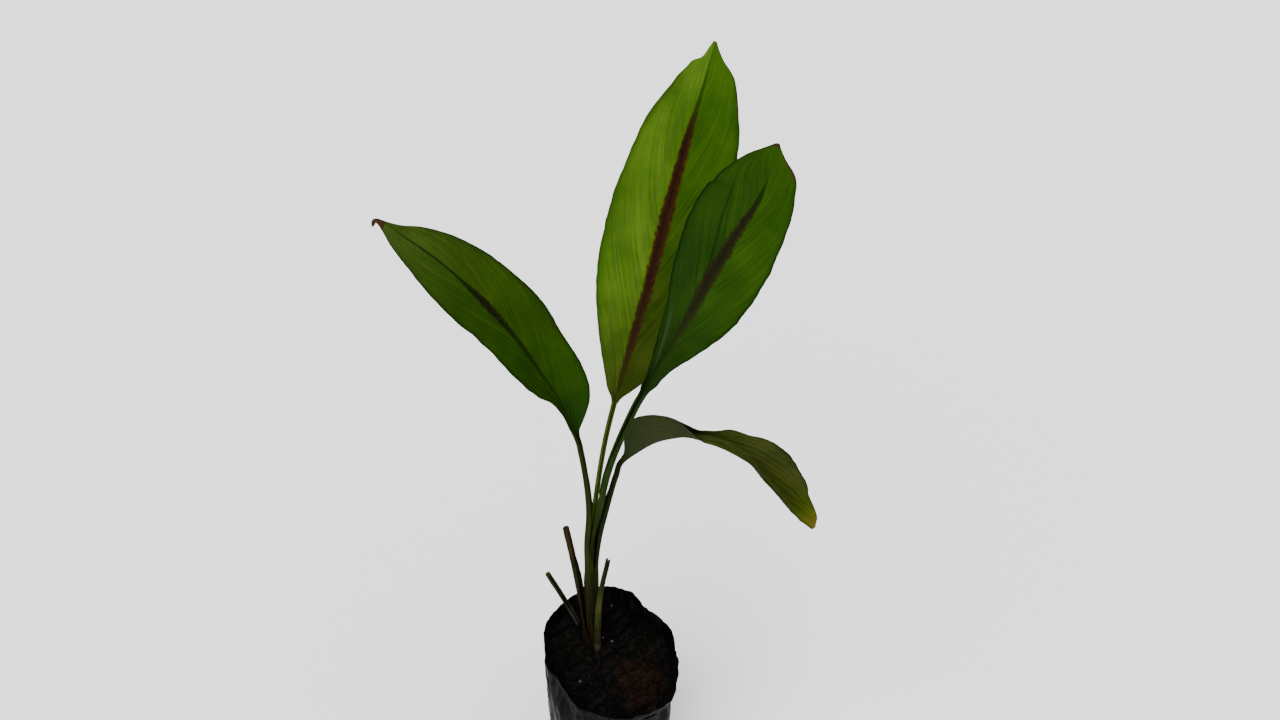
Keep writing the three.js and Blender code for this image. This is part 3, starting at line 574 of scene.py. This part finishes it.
def leaf_look(name, spec):
    """Satin green blade with pleats, fine veins, a maroon stripe, a paler underside and browned margins."""
    look = Look(name)
    keys = ("vein", "across", "stalk", "rib", "share", "under")
    vein, across, stalk, rib, share, under = (look.attribute(key) for key in keys)
    # Streaks follow the veins, so their noise is long in that direction.
    streaks = look.noise(look.vector(look.times(vein, 0.16), across), 1.6, 4.0, 0.6)
    lanes = look.vector(look.times(vein, 0.9), look.times(across, 1.3))
    threads = look.noise(lanes, 1.0, 2.0)
    patches = look.noise(look.place(), 38.0)
    spots = look.noise(look.place(), 420.0, 2.0)
    # The halves' ramps hold painted light and shade as well as the green: one half or stretch lighter or
    # darker as light falls on it.
    left = look.ramp(share, spec["left"])
    right = look.ramp(share, spec.get("right", spec["left"]))
    green = look.laid(left, right, across, -0.06, 0.06)
    deep = look.tinted(green, (0.52, 0.64, 0.5))
    darkest = look.tinted(green, (0.22, 0.28, 0.3))
    pale = look.tinted(green, (1.6, 1.34, 1.5))
    green = look.laid(green, pale, streaks, 0.46, 0.7)
    green = look.laid(green, deep, streaks, 0.5, 0.3, 0.7)
    green = look.laid(green, deep, threads, 0.4, 0.66, 0.18)
    green = look.laid(green, deep, patches, 0.42, 0.68, 0.55)
    green = look.laid(green, pale, patches, 0.46, 0.3, 0.45)
    # Painted glints: short bright streaks of light along the veins.
    short_lanes = look.vector(look.times(vein, 1.2), look.times(across, 3.6))
    glints = look.noise(short_lanes, 1.0, 2.0)
    green = look.laid(green, spec["painted_glint"], glints, 0.63, 0.72, 0.6)
    rim = look.math("ABSOLUTE", across)
    green = look.laid(green, deep, look.shifted(rim, patches, 0.2), 0.8, 0.95, 0.6)
    green = look.laid(green, darkest, rim, 0.93, 0.98, spec["edge"])
    width = look.attribute("half_width")
    # Creases paint shade into a dark line where the tone is above zero, and a painted highlight into a
    # light line where it is below.
    for start, end, across_start, across_end, half_width, tone in spec["creases"]:
        slope = (across_end - across_start) / (end - start)
        line = look.math("MULTIPLY_ADD", share, slope, across_start - start * slope)
        away = look.math("ABSOLUTE", look.times(look.math("SUBTRACT", across, line), width))
        strength = look.fit(look.shifted(away, streaks, half_width), 1.7 * half_width, 0.0, 0.0, abs(tone))
        strength = look.times(strength, look.fit(share, start, start + CREASE_FADE))
        strength = look.times(strength, look.fit(share, end, end - CREASE_FADE))
        green = look.colour(strength, green, darkest if tone > 0 else PAINTED_CREASE_HIGHLIGHT)
    # The band is a thin dark line where narrow, and maroon with redder, broken edges where wide.
    stripe = look.attribute("stripe")
    band = look.shifted(look.shifted(stripe, streaks, 2.2), spots, 1.6)
    tint = look.laid(spec["stripe_tint"], spec["stripe_edge"], stripe, 1.6, 0.2)
    dark_tint = look.tinted(tint, (0.4, 0.42, 0.5))
    tint = look.laid(tint, dark_tint, spots, 0.42, 0.66, 0.55)
    tint = look.colour(look.times(rib, 0.6), tint, dark_tint)
    tint = look.colour(look.attribute("stripe_red"), darkest, tint)
    band = look.times(look.fit(band, -0.5, 0.6), look.attribute("stripe_depth"))
    green = look.colour(band, green, tint)
    green = look.colour(look.times(rib, spec["rib_light"]), green, LIGHT_RIB)
    blade = look.colour(under, green, look.colour(0.6, green, UNDERSIDE))
    stem = look.colour(look.attribute("rise"), spec["sheath_green"], spec["stalk_green"])
    lines = look.noise(look.place((800.0, 800.0, 30.0)), 1.0)
    foot = look.fit(look.shifted(look.along(2), patches, 0.06), FOOT_REACH[1], FOOT_REACH[0])
    stem = look.colour(foot, stem, FOOT_BROWN)
    dark_stem = look.tinted(stem, (0.3, 0.36, 0.4))
    light_stem = look.tinted(stem, (1.9, 1.7, 1.8))
    stem = look.laid(stem, dark_stem, lines, 0.45, 0.72, 0.7)
    stem = look.laid(stem, light_stem, lines, 0.45, 0.3, 0.8)
    colour = look.colour(stalk, blade, stem)
    brown = look.attribute("brown")
    dry = look.fit(look.shifted(brown, patches, 0.5), 0.35, 0.65)
    dry = look.times(dry, look.fit(brown, 0.0, 0.15))
    colour = look.colour(dry, colour, LEAF_BROWN)
    ribs = look.math("SINE", look.times(vein, 2 * math.pi / VEIN_SPACING))
    ribs = look.times(ribs, look.fit(streaks, 0.35, 0.65, 0.1, 0.5))
    relief = look.math("MULTIPLY_ADD", threads, 0.8, ribs)
    relief = look.times(relief, look.math("SUBTRACT", 1.0, stalk))
    normal = look.bump(relief, 0.28, 0.00015)
    roughness = look.fit(streaks, 0.3, 0.7, 0.4, 0.58)
    roughness = look.math("MULTIPLY_ADD", under, 0.2, roughness)
    return look.finish(colour, roughness, MATT, normal)


def dry_look(name, stops, foot_z, top_z):
    """Drying stalk: fibrous, with colours from its foot to its cut end."""
    look = Look(name)
    rise = look.fit(look.along(2), foot_z * MM, top_z * MM)
    fibres = look.noise(look.place((1300.0, 1300.0, 30.0)), 1.0, 4.0, 0.6)
    blotches = look.noise(look.place(), 130.0, 4.0)
    colour = look.ramp(rise, stops)
    dark = look.tinted(colour, (0.42, 0.36, 0.4))
    light = look.tinted(colour, (1.6, 1.5, 1.5))
    colour = look.laid(colour, dark, fibres, 0.46, 0.68, 0.8)
    colour = look.laid(colour, light, fibres, 0.46, 0.3, 0.7)
    colour = look.laid(colour, dark, blotches, 0.52, 0.7, 0.6)
    normal = look.bump(fibres, 0.8, 0.0003)
    return look.finish(colour, look.fit(blotches, 0.3, 0.7, 0.6, 0.85), MATT, normal)


def film_look():
    """Thin black film with a soft sheen, dust and scuffs that also paint in its grey sheen, smears of soil,
    purplish to the left.
    """
    look = Look("film")
    dust_and_sheen = look.noise(look.place(), 45.0, 6.0, 0.65)
    scuffs_and_sheen = look.noise(look.place((240.0, 240.0, 30.0)), 1.0, 5.0, 0.6)
    specks = look.noise(look.place(), 700.0)
    sides = look.fit(look.along(0), *FILM_SIDES)
    black = look.colour(sides, (0.0019, 0.0016, 0.0018), (0.0015, 0.0016, 0.002))
    # Paler dust and scuffs: real dust, and painted sheen where the film would shine.
    colour = look.laid(black, (0.0065, 0.006, 0.006), dust_and_sheen, 0.46, 0.72, 0.6)
    colour = look.laid(colour, (0.011, 0.0104, 0.0102), scuffs_and_sheen, 0.52, 0.72, 0.6)
    colour = look.laid(colour, (0.01, 0.0075, 0.005), specks, 0.64, 0.7, 0.5)
    fine = look.noise(look.place((380.0, 380.0, 120.0)), 1.0, 4.0)
    crinkles = look.noise(look.place((95.0, 95.0, 60.0)), 1.0, 2.0, 0.7)
    normal = look.bump(crinkles, 0.5, 0.003, look.bump(fine, 0.4, 0.0005))
    return look.finish(colour, look.fit(dust_and_sheen, 0.35, 0.7, 0.3, 0.5), 0.5, normal, IOR=FILM_IOR)


def soil_look():
    """Dark moist potting soil with a redder patch."""
    look = Look("soil")
    grain = look.noise(look.place(), 380.0, 6.0, 0.7)
    clods = look.noise(look.place(), 75.0, 4.0)
    tints = look.noise(look.place(), 28.0, 2.0)
    olive = look.ramp(grain, SOIL_OLIVE)
    plum = look.ramp(grain, SOIL_PLUM)
    colour = look.laid(olive, plum, tints, 0.44, 0.56)
    colour = look.laid(colour, (0.0006, 0.0005, 0.0005), clods, 0.45, 0.7, 0.6)
    ends = {0: look.place(), 1: look.vector(*RED_PATCH)}
    away = look.add("ShaderNodeVectorMath", ends, operation="DISTANCE").outputs["Value"]
    red = look.fit(look.shifted(away, clods, 0.05), RED_REACH[1], RED_REACH[0], 0.0, 0.9)
    colour = look.colour(red, colour, look.ramp(grain, SOIL_RED))
    normal = look.bump(grain, 0.8, 0.0008)
    return look.finish(colour, look.fit(clods, 0.35, 0.65, 0.5, 0.9), 0.03, normal)


def speckled_look(name, tints, scale):
    """Plain natural material of two tints."""
    look = Look(name)
    spots = look.noise(look.place(), scale, 4.0)
    colour = look.colour(look.fit(spots, 0.35, 0.65), *tints)
    return look.finish(colour, 0.9, MATT, look.bump(spots, 0.6, 0.0003))


def axis_at(z):
    """Middle of the rolled stem at a height."""
    rise = z - STEM_FOOT[2]
    return np.array([STEM_FOOT[0] + rise * STEM_LEAN[0], STEM_FOOT[1] + rise * STEM_LEAN[1], z])


def sheath_rows(spec):
    out = np.array([*heading(spec["bearing"]), 0])
    rows = []
    for share in SHEATH_ROWS:
        middle = axis_at(mix(CROWN_Z, spec["leaves"], share))
        rows.append([*(middle + spec["sheath"] * out), *(-out)])
    return rows


def half_section(distances, width, fold, bend):
    """Points of a half section: how far out and up from the midrib, and the angle there."""
    gutter = min(GUTTER, width)
    even = math.radians(bend) / width
    inner = np.minimum(distances, gutter)
    out, rise, angle = np.zeros((3, len(distances)))
    for length, curve in ((inner, even + math.radians(fold) / gutter), (distances - inner, even)):
        turned = angle + curve * length
        if abs(curve) < 1e-9:
            out += length * np.cos(angle)
            rise += length * np.sin(angle)
        else:
            out += (np.sin(turned) - np.sin(angle)) / curve
            rise += (np.cos(angle) - np.cos(turned)) / curve
        angle = turned
    return out, rise, angle


def rolled(radius, wrap, thick):
    half = radius * math.radians(wrap)
    return {
        "widths": (half, half), "fold": 0, "bend": wrap, "thick": thick,
        "rib": 0, "wave": (0, 0), "open": 0.0,
    }


def stalk_section(spec, u):
    radius, thick = STALK_RADIUS * spec["scale"], STALK_THICK * spec["scale"]
    if not spec["roll"]:
        return rolled(radius, STALK_WRAP, thick)
    wrap = spec.get("wrap", SHEATH_WRAP)
    stages = [(1, wrap), (1, wrap), (1, wrap), (1, spec["narrow"]), *spec["roll"], (0, STALK_WRAP)]
    i = min(int(u), len(stages) - 2)
    t = min(u - i, 1)
    opened = mix(stages[i][0], stages[i + 1][0], t)
    cover = mix(stages[i][1], stages[i + 1][1], t)
    return rolled(mix(radius, spec["sheath"], opened), cover, mix(thick, SHEATH_THICK, opened))


def margin(share, side, seed):
    """What the margin's wandering makes of a half's width."""
    flow = sum(reach * wander(share * turns, side * apart, seed) for reach, turns, apart in MARGIN_WANDERS)
    fade = float(smooth(0.06, 0.2, share) * (1 - smooth(0.93, 0.99, share)))
    return 1 + fade * flow


def blade_section(spec, share):
    base = STALK_RADIUS * spec["scale"] * math.radians(STALK_WRAP)
    outline = np.array([[0, base, base, 0, STALK_WRAP], *spec["outline"]], float)
    left, right, fold, bend = lookup(outline, share)
    opened = float(smooth(0, BLADE_OPENS, share))
    tipped = float(smooth(BLADE_ENDS, 1, share))
    height, count, phase = spec["wave"]
    height *= float(smooth(*WAVE_STARTS, share)) * (1 - tipped)
    starts = (phase, phase + WAVE_SHIFT)
    seed = spec["bearing"]
    return {
        "widths": (left * margin(share, -1, seed), right * margin(share, 1, seed)),
        "fold": fold,
        "bend": bend,
        "thick": mix(STALK_THICK * spec["scale"], BLADE_THICK, opened),
        "rib": RIB_DEPTH * opened * (1 - share),
        "wave": [height * math.sin(2 * math.pi * (count * share + start)) for start in starts],
        "open": opened * (1 - tipped),
    }


def leaf_stations(spec):
    """Places along a leaf, each with its section and its share of the blade, and the blade's length."""
    rows = np.array([*sheath_rows(spec), *spec["stalk"], *spec["blade"]], float)
    base = len(rows) - len(spec["blade"])
    places = np.linspace(base, len(rows) - 1, MEASURING * (len(spec["blade"]) - 1) + 1)
    points = np.array([through(rows, u)[:3] for u in places])
    lengths = np.concatenate([[0], np.cumsum(np.linalg.norm(np.diff(points, axis=0), axis=1))])
    stations = []
    for u in np.arange(SHEATH_START, base, STALK_STEP):
        stations.append((u, stalk_section(spec, u), -1.0))
    for k in range(BLADE_STEPS + 1):
        share = (1 - math.cos(math.pi * k / BLADE_STEPS)) / 2
        u = float(np.interp(share * lengths[-1], lengths, places))
        stations.append((u, blade_section(spec, share), share))
    return rows, stations, lengths[-1]


def strip(rows, stations, relief):
    """Closed strip of leaf. Returns its points, its faces, for each point its station, side, share of the
    half width and distance from the midrib, and how many points lie on each face. Relief gives how far the
    upper and the lower face stand out."""
    cells = np.array(HALF_CELLS)
    shares = np.concatenate([-cells[:0:-1], cells])
    side = np.sign(shares)
    w = np.abs(shares)
    upper, lower, facts = [], [], []
    span = len(rows) - 1
    for number, (u, section, share) in enumerate(stations):
        here = through(rows, u)
        ahead = through(rows, min(u + TANGENT_REACH, span))
        along = ahead[:3] - through(rows, max(u - TANGENT_REACH, 0))[:3]
        along /= np.linalg.norm(along)
        facing = here[3:] - along * (here[3:] @ along)
        facing /= np.linalg.norm(facing)
        across = np.cross(along, facing)
        widths = np.where(side < 0, *section["widths"])
        out, rise, angle = np.zeros((3, len(w)))
        for mask, width in zip((side <= 0, side > 0), section["widths"]):
            half = half_section(w[mask] * width, width, section["fold"], section["bend"])
            out[mask], rise[mask], angle[mask] = half
        lift = rise + np.where(side < 0, *section["wave"]) * w * w
        distance = side * w * widths
        top, bottom = relief(share, side, w, distance, section, here)
        thick = section["thick"] / 2 * (1 - MARGIN_THINS * section["open"] * smooth(0.8, 1, w))
        for face, height in ((upper, thick + top), (lower, bottom - thick)):
            x = side * (out - np.sin(angle) * height)
            n = lift + np.cos(angle) * height
            face.append(here[:3] + np.outer(x, across) + np.outer(n, facing))
        facts.append(np.stack([np.full(len(w), number), side, w, distance], axis=1))
    m = len(w)
    down = len(stations) * m
    faces = []
    for a in range(0, down - m, m):
        for j in range(a, a + m - 1):
            faces.append((j, j + 1, j + 1 + m, j + m))
            faces.append((j + down, j + m + down, j + 1 + m + down, j + 1 + down))
        e = a + m - 1
        faces.append((a, a + m, a + m + down, a + down))
        faces.append((e, e + down, e + m + down, e + m))
    for j in range(m - 1):
        k = down - m + j
        faces.append((j, j + down, j + 1 + down, j + 1))
        faces.append((k, k + 1, k + 1 + down, k + down))
    facts = np.concatenate(facts)
    return np.concatenate([*upper, *lower]), faces, np.concatenate([facts, facts]), down


def leaf(name, spec):
    rows, stations, length = leaf_stations(spec)
    seed = spec["bearing"]

    def relief(share, side, w, distance, section, here):
        if share < 0:
            return 0, 0
        groove = GROOVE_DEPTH * section["open"] * np.exp(-((distance / GROOVE_WIDTH) ** 2))
        rib = section["rib"] * np.exp(-((distance / RIB_WIDTH) ** 2))
        vein = (share - VEIN_LEAN[0] * w - VEIN_LEAN[1] * w * w) * length
        fade = smooth(0.03, 0.2, w) * (1 - smooth(0.8, 0.97, w)) * section["open"]
        drift = np.array([wander(v / PLEAT_DRIFT, s * 3.7, seed) for v, s in zip(vein, side)])
        pleat = PLEAT_HEIGHT * fade * np.sin(2 * math.pi * (vein / PLEAT + 0.5 * drift))
        reach = share * length
        swell = np.array([wander(reach / SWELL[1], 2 * s * a, seed + 7) for s, a in zip(side, w)])
        ruffle = np.array([wander(reach / RUFFLE[1], s * 9, seed + 3) for s in side])
        even = (SWELL[0] * swell * smooth(0.1, 0.6, w) + RUFFLE[0] * ruffle * w**4) * section["open"]
        return pleat + even - groove, pleat + even - rib

    points, faces, facts, down = strip(rows, stations, relief)
    number, side, w, distance = facts.T
    share = np.array([station[2] for station in stations])[number.astype(int)]
    on_blade = np.maximum(share, 0)
    stripe = np.array([lookup(np.array(spec["stripe"], float), s) for s in on_blade])
    soft, least = STRIPE_SOFT
    attributes = {
        "share": on_blade,
        "across": side * w,
        "vein": (on_blade - VEIN_LEAN[0] * w - VEIN_LEAN[1] * w * w) * length,
        "under": np.repeat([0.0, 1.0], down),
        "stalk": 1 - smooth(0.0, 0.05, on_blade),
        "rise": smooth(*GREENING, points[:, 2]),
        "stripe": (stripe[:, 0] - np.abs(distance)) / (soft * np.maximum(stripe[:, 0], least)),
        "stripe_depth": np.clip(stripe[:, 1], 0, 1),
        "stripe_red": smooth(*RED_WIDTHS, stripe[:, 0]),
        "rib": np.exp(-((distance / RIB_LINE) ** 2)),
        "half_width": np.abs(distance) / np.maximum(w, 1e-6),
        "brown": dried(name, on_blade, side, w),
    }
    make(name, points, faces, leaf_look(name, spec), name, attributes)


def dried(name, share, side, w):
    """How far each point of a leaf has dried, from 0 to 1."""
    tip = smooth(0.975, 0.995, share)
    if name == "leaf_left":
        return np.maximum(smooth(0.945, 0.965, share), 0.6 * smooth(0.9, 1, w) * smooth(0.8, 0.9, share))
    if name == "leaf_front":
        rim = smooth(0.9, 0.93, share) * (1 - smooth(0.97, 0.985, share))
        return np.maximum(tip * 0.6, rim * smooth(0.8, 0.95, w) * (side > 0))
    if name == "leaf_drooping":
        rim = smooth(0.97, 1, w) * smooth(0.6, 0.8, share)
        return np.maximum(smooth(0.95, 1.0, share) * 0.4, rim * 0.5)
    rim = smooth(0.8, 0.86, share) * smooth(0.95, 1, w) * (side > 0)
    return np.maximum(tip * 0.5, rim * 0.8)


def old_sheath():
    """Papery brown sheath round the stem's foot, and what is left of its stalk."""
    rows = np.array([*sheath_rows(OLD_SHEATH), *OLD_SHEATH["stalk"]], float)
    last = len(rows) - 1
    stations = [(u, stalk_section(OLD_SHEATH, u), -1.0) for u in np.linspace(SHEATH_START, last, OLD_STEPS)]

    def relief(share, side, w, distance, section, here):
        ridge = np.array([wander(d * 1.4, here[2] / 22, 3) for d in distance])
        crumple = np.array([wander(d / 4, here[2] / 6, 9) for d in distance])
        both = OLD_RIDGE * ridge + OLD_CRUMPLE * crumple
        return both, both

    points, faces, _, _ = strip(rows, stations, relief)
    material = dry_look("old_sheath", OLD_SHEATH["tints"], 140, rows[-1][2])
    make("old_sheath", points, faces, material, "old_sheath")


def stub(name, spec):
    """Cut stalk of an earlier leaf."""
    facing = np.array(spec["facing"], float)
    middles = [np.array(p) - facing * STALK_RADIUS * spec["scale"] for p in spec["path"]]
    rows = np.array([[*middle, *facing] for middle in middles], float)
    last = len(rows) - 1
    stations = []
    for u in np.linspace(0, last, STUB_STEPS):
        size = spec["scale"] * mix(1, spec["taper"], float(smooth(1, last, u)))
        stations.append((u, rolled(STALK_RADIUS * size, STALK_WRAP, STALK_THICK * size), -1.0))

    def relief(share, side, w, distance, section, here):
        ridge = np.array([wander(d * 1.6, here[2] / 20, len(name)) for d in distance])
        return STUB_RIDGE * ridge, STUB_RIDGE * ridge

    points, faces, _, _ = strip(rows, stations, relief)
    material = dry_look(name, spec["tints"], SOIL_LEVEL, spec["path"][-1][2])
    make(name, points, faces, material, name)


MOUTH_ROWS = np.array([*MOUTH, (MOUTH[0][0] + 360, *MOUTH[0][1:])], float)


def mouth_at(bearing):
    """Radius and height of the mouth at a bearing."""
    return [float(np.interp(bearing, MOUTH_ROWS[:, 0], MOUTH_ROWS[:, k])) for k in (1, 2)]


def bag_radius(bearing, share):
    """Outer radius of the bag at a bearing and a share of the mouth's height, with the film's wrinkles."""
    mouth, top = mouth_at(bearing)
    z = share * top
    corner = 1 - math.sqrt(max(0, 1 - (1 - min(z / BAG_CORNER_HEIGHT, 1)) ** 2))
    body = mix(BAG_BODY_RADIUS, BAG_BASE_RADIUS, corner) + BAG_BULGE * math.sin(math.pi * share)
    folds = 0.0
    for middle, drift, half, depth, phase in FOLDS:
        away = ((bearing - middle - drift * share + 540) % 360 - 180) / half
        swell = 1 - FOLD_SWELL + FOLD_SWELL * math.cos(FOLD_TURNS * share + phase)
        folds += depth * math.exp(-away * away) * swell
    x, y = heading(bearing)
    creases = abs(wander(x * 5.2 + 3, y * 5.2, z / 60)) - RIDGE_LEVEL
    slants = abs(wander(x * 3.1 + z / 26, y * 3.1, z / 34 + 5)) - RIDGE_LEVEL
    crumples = abs(wander(x * 9 - z / 15, y * 9, z / 17)) - RIDGE_LEVEL
    fine = wander(x * 17, y * 17, z / 19)
    wrinkles = WRINKLE * (1.5 * creases + 1.2 * slants + 0.9 * crumples + 0.35 * fine)
    body -= folds * float(smooth(*FOLD_SHARE, share))
    crimp = CRIMP * wander(bearing / 5, 9) * float(smooth(0.93, 1, share))
    return mix(body, mouth, float(smooth(MOUTH_SHARE, 1, share))) + wrinkles + crimp


def bag_point(bearing, share, inset):
    radius = bag_radius(bearing, share) - inset
    x, y = heading(bearing)
    z = share * mouth_at(bearing)[1] + CRIMP * wander(bearing / 6, 4) * float(smooth(0.9, 1, share))
    slump = BAG_SLUMP * float(smooth(0.05, 0.3, share) * (1 - smooth(0.85, 1, share)))
    return [radius * x + slump, radius * y, z]


def bag_ring(share, inset):
    return [bag_point(k * 360 / BAG_SIDES, share, inset) for k in range(BAG_SIDES)]


def bag():
    """Bag of thin wrinkled film, open at its mouth."""
    outer = [0, 0.004, 0.012, 0.025, *np.linspace(0.045, 1, BAG_LEVELS)]
    inner = [*np.linspace(1, INNER_START, INNER_LEVELS), 0.5, 0.25, 0.06, 0.012]
    rings = [bag_ring(share, 0) for share in outer]
    rings += [bag_ring(share, FILM if share > INNER_START else 2 * FILM) for share in inner]
    points, faces = closed_rings(rings, [0, 0, 0], [0, 0, BASE_INSIDE])
    make("grow_bag", points, faces, film_look(), "grow_bag")


def soil_height(x, y):
    mx, my, height, spread = MOUND
    away = ((x - mx) ** 2 + (y - my) ** 2) / (2 * spread**2)
    level = SOIL_LEVEL + SOIL_SLOPE * y + height * math.exp(-away)
    level += sum(size * math.sin(in_x * x + in_y * y + phase) for size, in_x, in_y, phase in LUMPS)
    clods = abs(wander(x / 9, y / 7, 1)) * CLOD_HEIGHT - CLOD_LEVEL
    grains = sum(wander(x / size, y / size, seed) * high for size, seed, high in GRAINS)
    return level + clods + grains


def soil():
    """Lumpy fill of the bag."""
    rings = [bag_ring(share, SOIL_SIDE_INSET) for share in (0.02, 0.2, 0.45, 0.7, 0.85)]
    floor = BASE_INSIDE + SOIL_INSET
    rings.insert(0, [[x, y, floor] for x, y, _ in rings[0]])
    edge = bag_ring(SOIL_SHARE, SOIL_INSET)
    for share in np.linspace(1, 0, SOIL_RINGS, endpoint=False):
        rings.append([[x * share, y * share, soil_height(x * share, y * share)] for x, y, _ in edge])
    points, faces = closed_rings(rings, [0, 0, floor], [0, 0, soil_height(0, 0)])
    make("soil", points, faces, soil_look(), "soil")


def ball():
    """Points and faces of a ball of 80 sides."""
    work = bmesh.new()
    bmesh.ops.create_icosphere(work, subdivisions=2, radius=1)
    points = np.array([v.co[:] for v in work.verts])
    faces = [tuple(v.index for v in f.verts) for f in work.faces]
    work.free()
    return points, faces


def lumps(name, places, material, sharp):
    """Small irregular lumps in one piece. Places holds [x, y, size, how far it stands up]."""
    unit, unit_faces = ball()
    points, faces = [], []
    for x, y, size, lift in places:
        seed = rng.uniform(0, 100, 3)
        stretch = rng.uniform(0.6, 1.3, 3)
        rough = np.array([1 + sharp * wander(*(p * 1.3 + seed)) for p in unit])
        lump = unit * rough[:, None] * stretch * size
        turn = rng.uniform(0, 2 * math.pi)
        c, s = math.cos(turn), math.sin(turn)
        lump = lump @ np.array([[c, s, 0], [-s, c, 0], [0, 0, 1]])
        lump += [x, y, soil_height(x, y) + lift * size]
        faces += [tuple(i + len(points) for i in face) for face in unit_faces]
        points += lump.tolist()
    make(name, points, faces, material)


def scattered(count, smallest, largest, power, reach=0.93):
    """Random places on the soil as [x, y, size, how far it stands up], mostly of small sizes."""
    places = []
    while len(places) < count:
        bearing = rng.uniform(0, 360)
        size = smallest + (largest - smallest) * rng.uniform() ** power
        radius = math.sqrt(rng.uniform()) * (bag_radius(bearing, SOIL_SHARE) * reach - size)
        x, y = [radius * step for step in heading(bearing)]
        places.append([x, y, size, rng.uniform(-0.4, 0.2)])
    return places


def fibres():
    """Thin dry roots and straws that lie on the soil."""
    points, faces = [], []
    sides, steps = 5, 9
    for x, y, _, _ in scattered(FIBRES, 1, 2, 1, 0.8):
        turn = rng.uniform(0, 2 * math.pi)
        bend = rng.uniform(-FIBRE_BEND, FIBRE_BEND)
        length = rng.uniform(*FIBRE_LENGTHS)
        radius = rng.uniform(*FIBRE_RADII)
        lift = rng.uniform(0.1, 0.5)
        first = len(points)
        for k in range(steps):
            way = turn + bend * k
            z = soil_height(x, y) + lift
            size = radius * (1 - 0.6 * k / steps)
            for j in range(sides):
                a = 2 * math.pi * j / sides
                points.append([
                    x - math.sin(way) * math.cos(a) * size,
                    y + math.cos(way) * math.cos(a) * size,
                    z + math.sin(a) * size,
                ])
            x += math.cos(way) * length / steps
            y += math.sin(way) * length / steps
            if math.hypot(x, y) > BAG_BASE_RADIUS - 4:
                turn += math.pi / 2
        faces += ring_faces(steps, sides, first, outward=False)
        faces.append(tuple(range(first, first + sides)))
        faces.append(tuple(range(first + steps * sides - 1, first + (steps - 1) * sides - 1, -1)))
    tints = ((0.004, 0.0026, 0.0016), (0.016, 0.011, 0.006))
    make("fibres", points, faces, speckled_look("fibre", tints, 300.0))


def litter():
    """What lies on the soil: crumbs, white bits and fibres."""
    crumb_tints = ((0.0016, 0.0013, 0.0011), (0.0052, 0.0041, 0.0032))
    crumbs = scattered(CRUMBS, 0.4, 2.2, 4)
    lumps("soil_crumbs", crumbs, speckled_look("crumb", crumb_tints, 500.0), 0.6)
    white_tints = ((0.018, 0.017, 0.015), (0.055, 0.053, 0.048))
    lumps("white_bits", WHITE_BITS, speckled_look("white_bit", white_tints, 900.0), 0.7)
    fibres()


def stage():
    """Pale floor, soft light and the camera of the photo."""
    mesh = bpy.data.meshes.new("floor")
    h = FLOOR_HALF
    mesh.from_pydata([(-h, -h, 0), (h, -h, 0), (h, h, 0), (-h, h, 0)], [], [(0, 1, 2, 3)])
    look = Look("floor")
    mesh.materials.append(look.finish((FLOOR_GREY, FLOOR_GREY, FLOOR_GREY), 0.9, 0.1))
    floor = placed("floor", mesh)
    world = bpy.data.worlds.new("studio")
    bpy.context.scene.world = world
    world.use_nodes = True
    world.node_tree.nodes["Background"].inputs[0].default_value = (*SKY, 1)
    world.node_tree.nodes["Background"].inputs[1].default_value = SKY_STRENGTH
    for name, strength, angle, turn in SUNS:
        light = bpy.data.lights.new(name, "SUN")
        light.energy = strength
        light.angle = math.radians(angle)
        lamp = placed(name, light)
        lamp.rotation_euler = [math.radians(a) for a in turn]
    camera = bpy.data.cameras.new("camera")
    camera.lens = CAMERA_LENS
    camera.sensor_width = CAMERA_SENSOR
    camera.clip_start = 0.01
    camera.clip_end = 60
    holder = placed("camera", camera)
    holder.location = CAMERA_PLACE
    holder.rotation_euler = (math.radians(90 - CAMERA_PITCH), 0, 0)
    bpy.context.scene.camera = holder


stage()
bag()
soil()
litter()
for leaf_name, leaf_spec in LEAVES.items():
    leaf(leaf_name, leaf_spec)
old_sheath()
for stub_name, stub_spec in STUBS.items():
    stub(stub_name, stub_spec)
skin = speckled_look("rhizome_skin", ((0.012, 0.01, 0.014), (0.034, 0.03, 0.036)), 220.0)
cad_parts["rhizome"].data.materials.clear()
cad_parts["rhizome"].data.materials.append(skin)
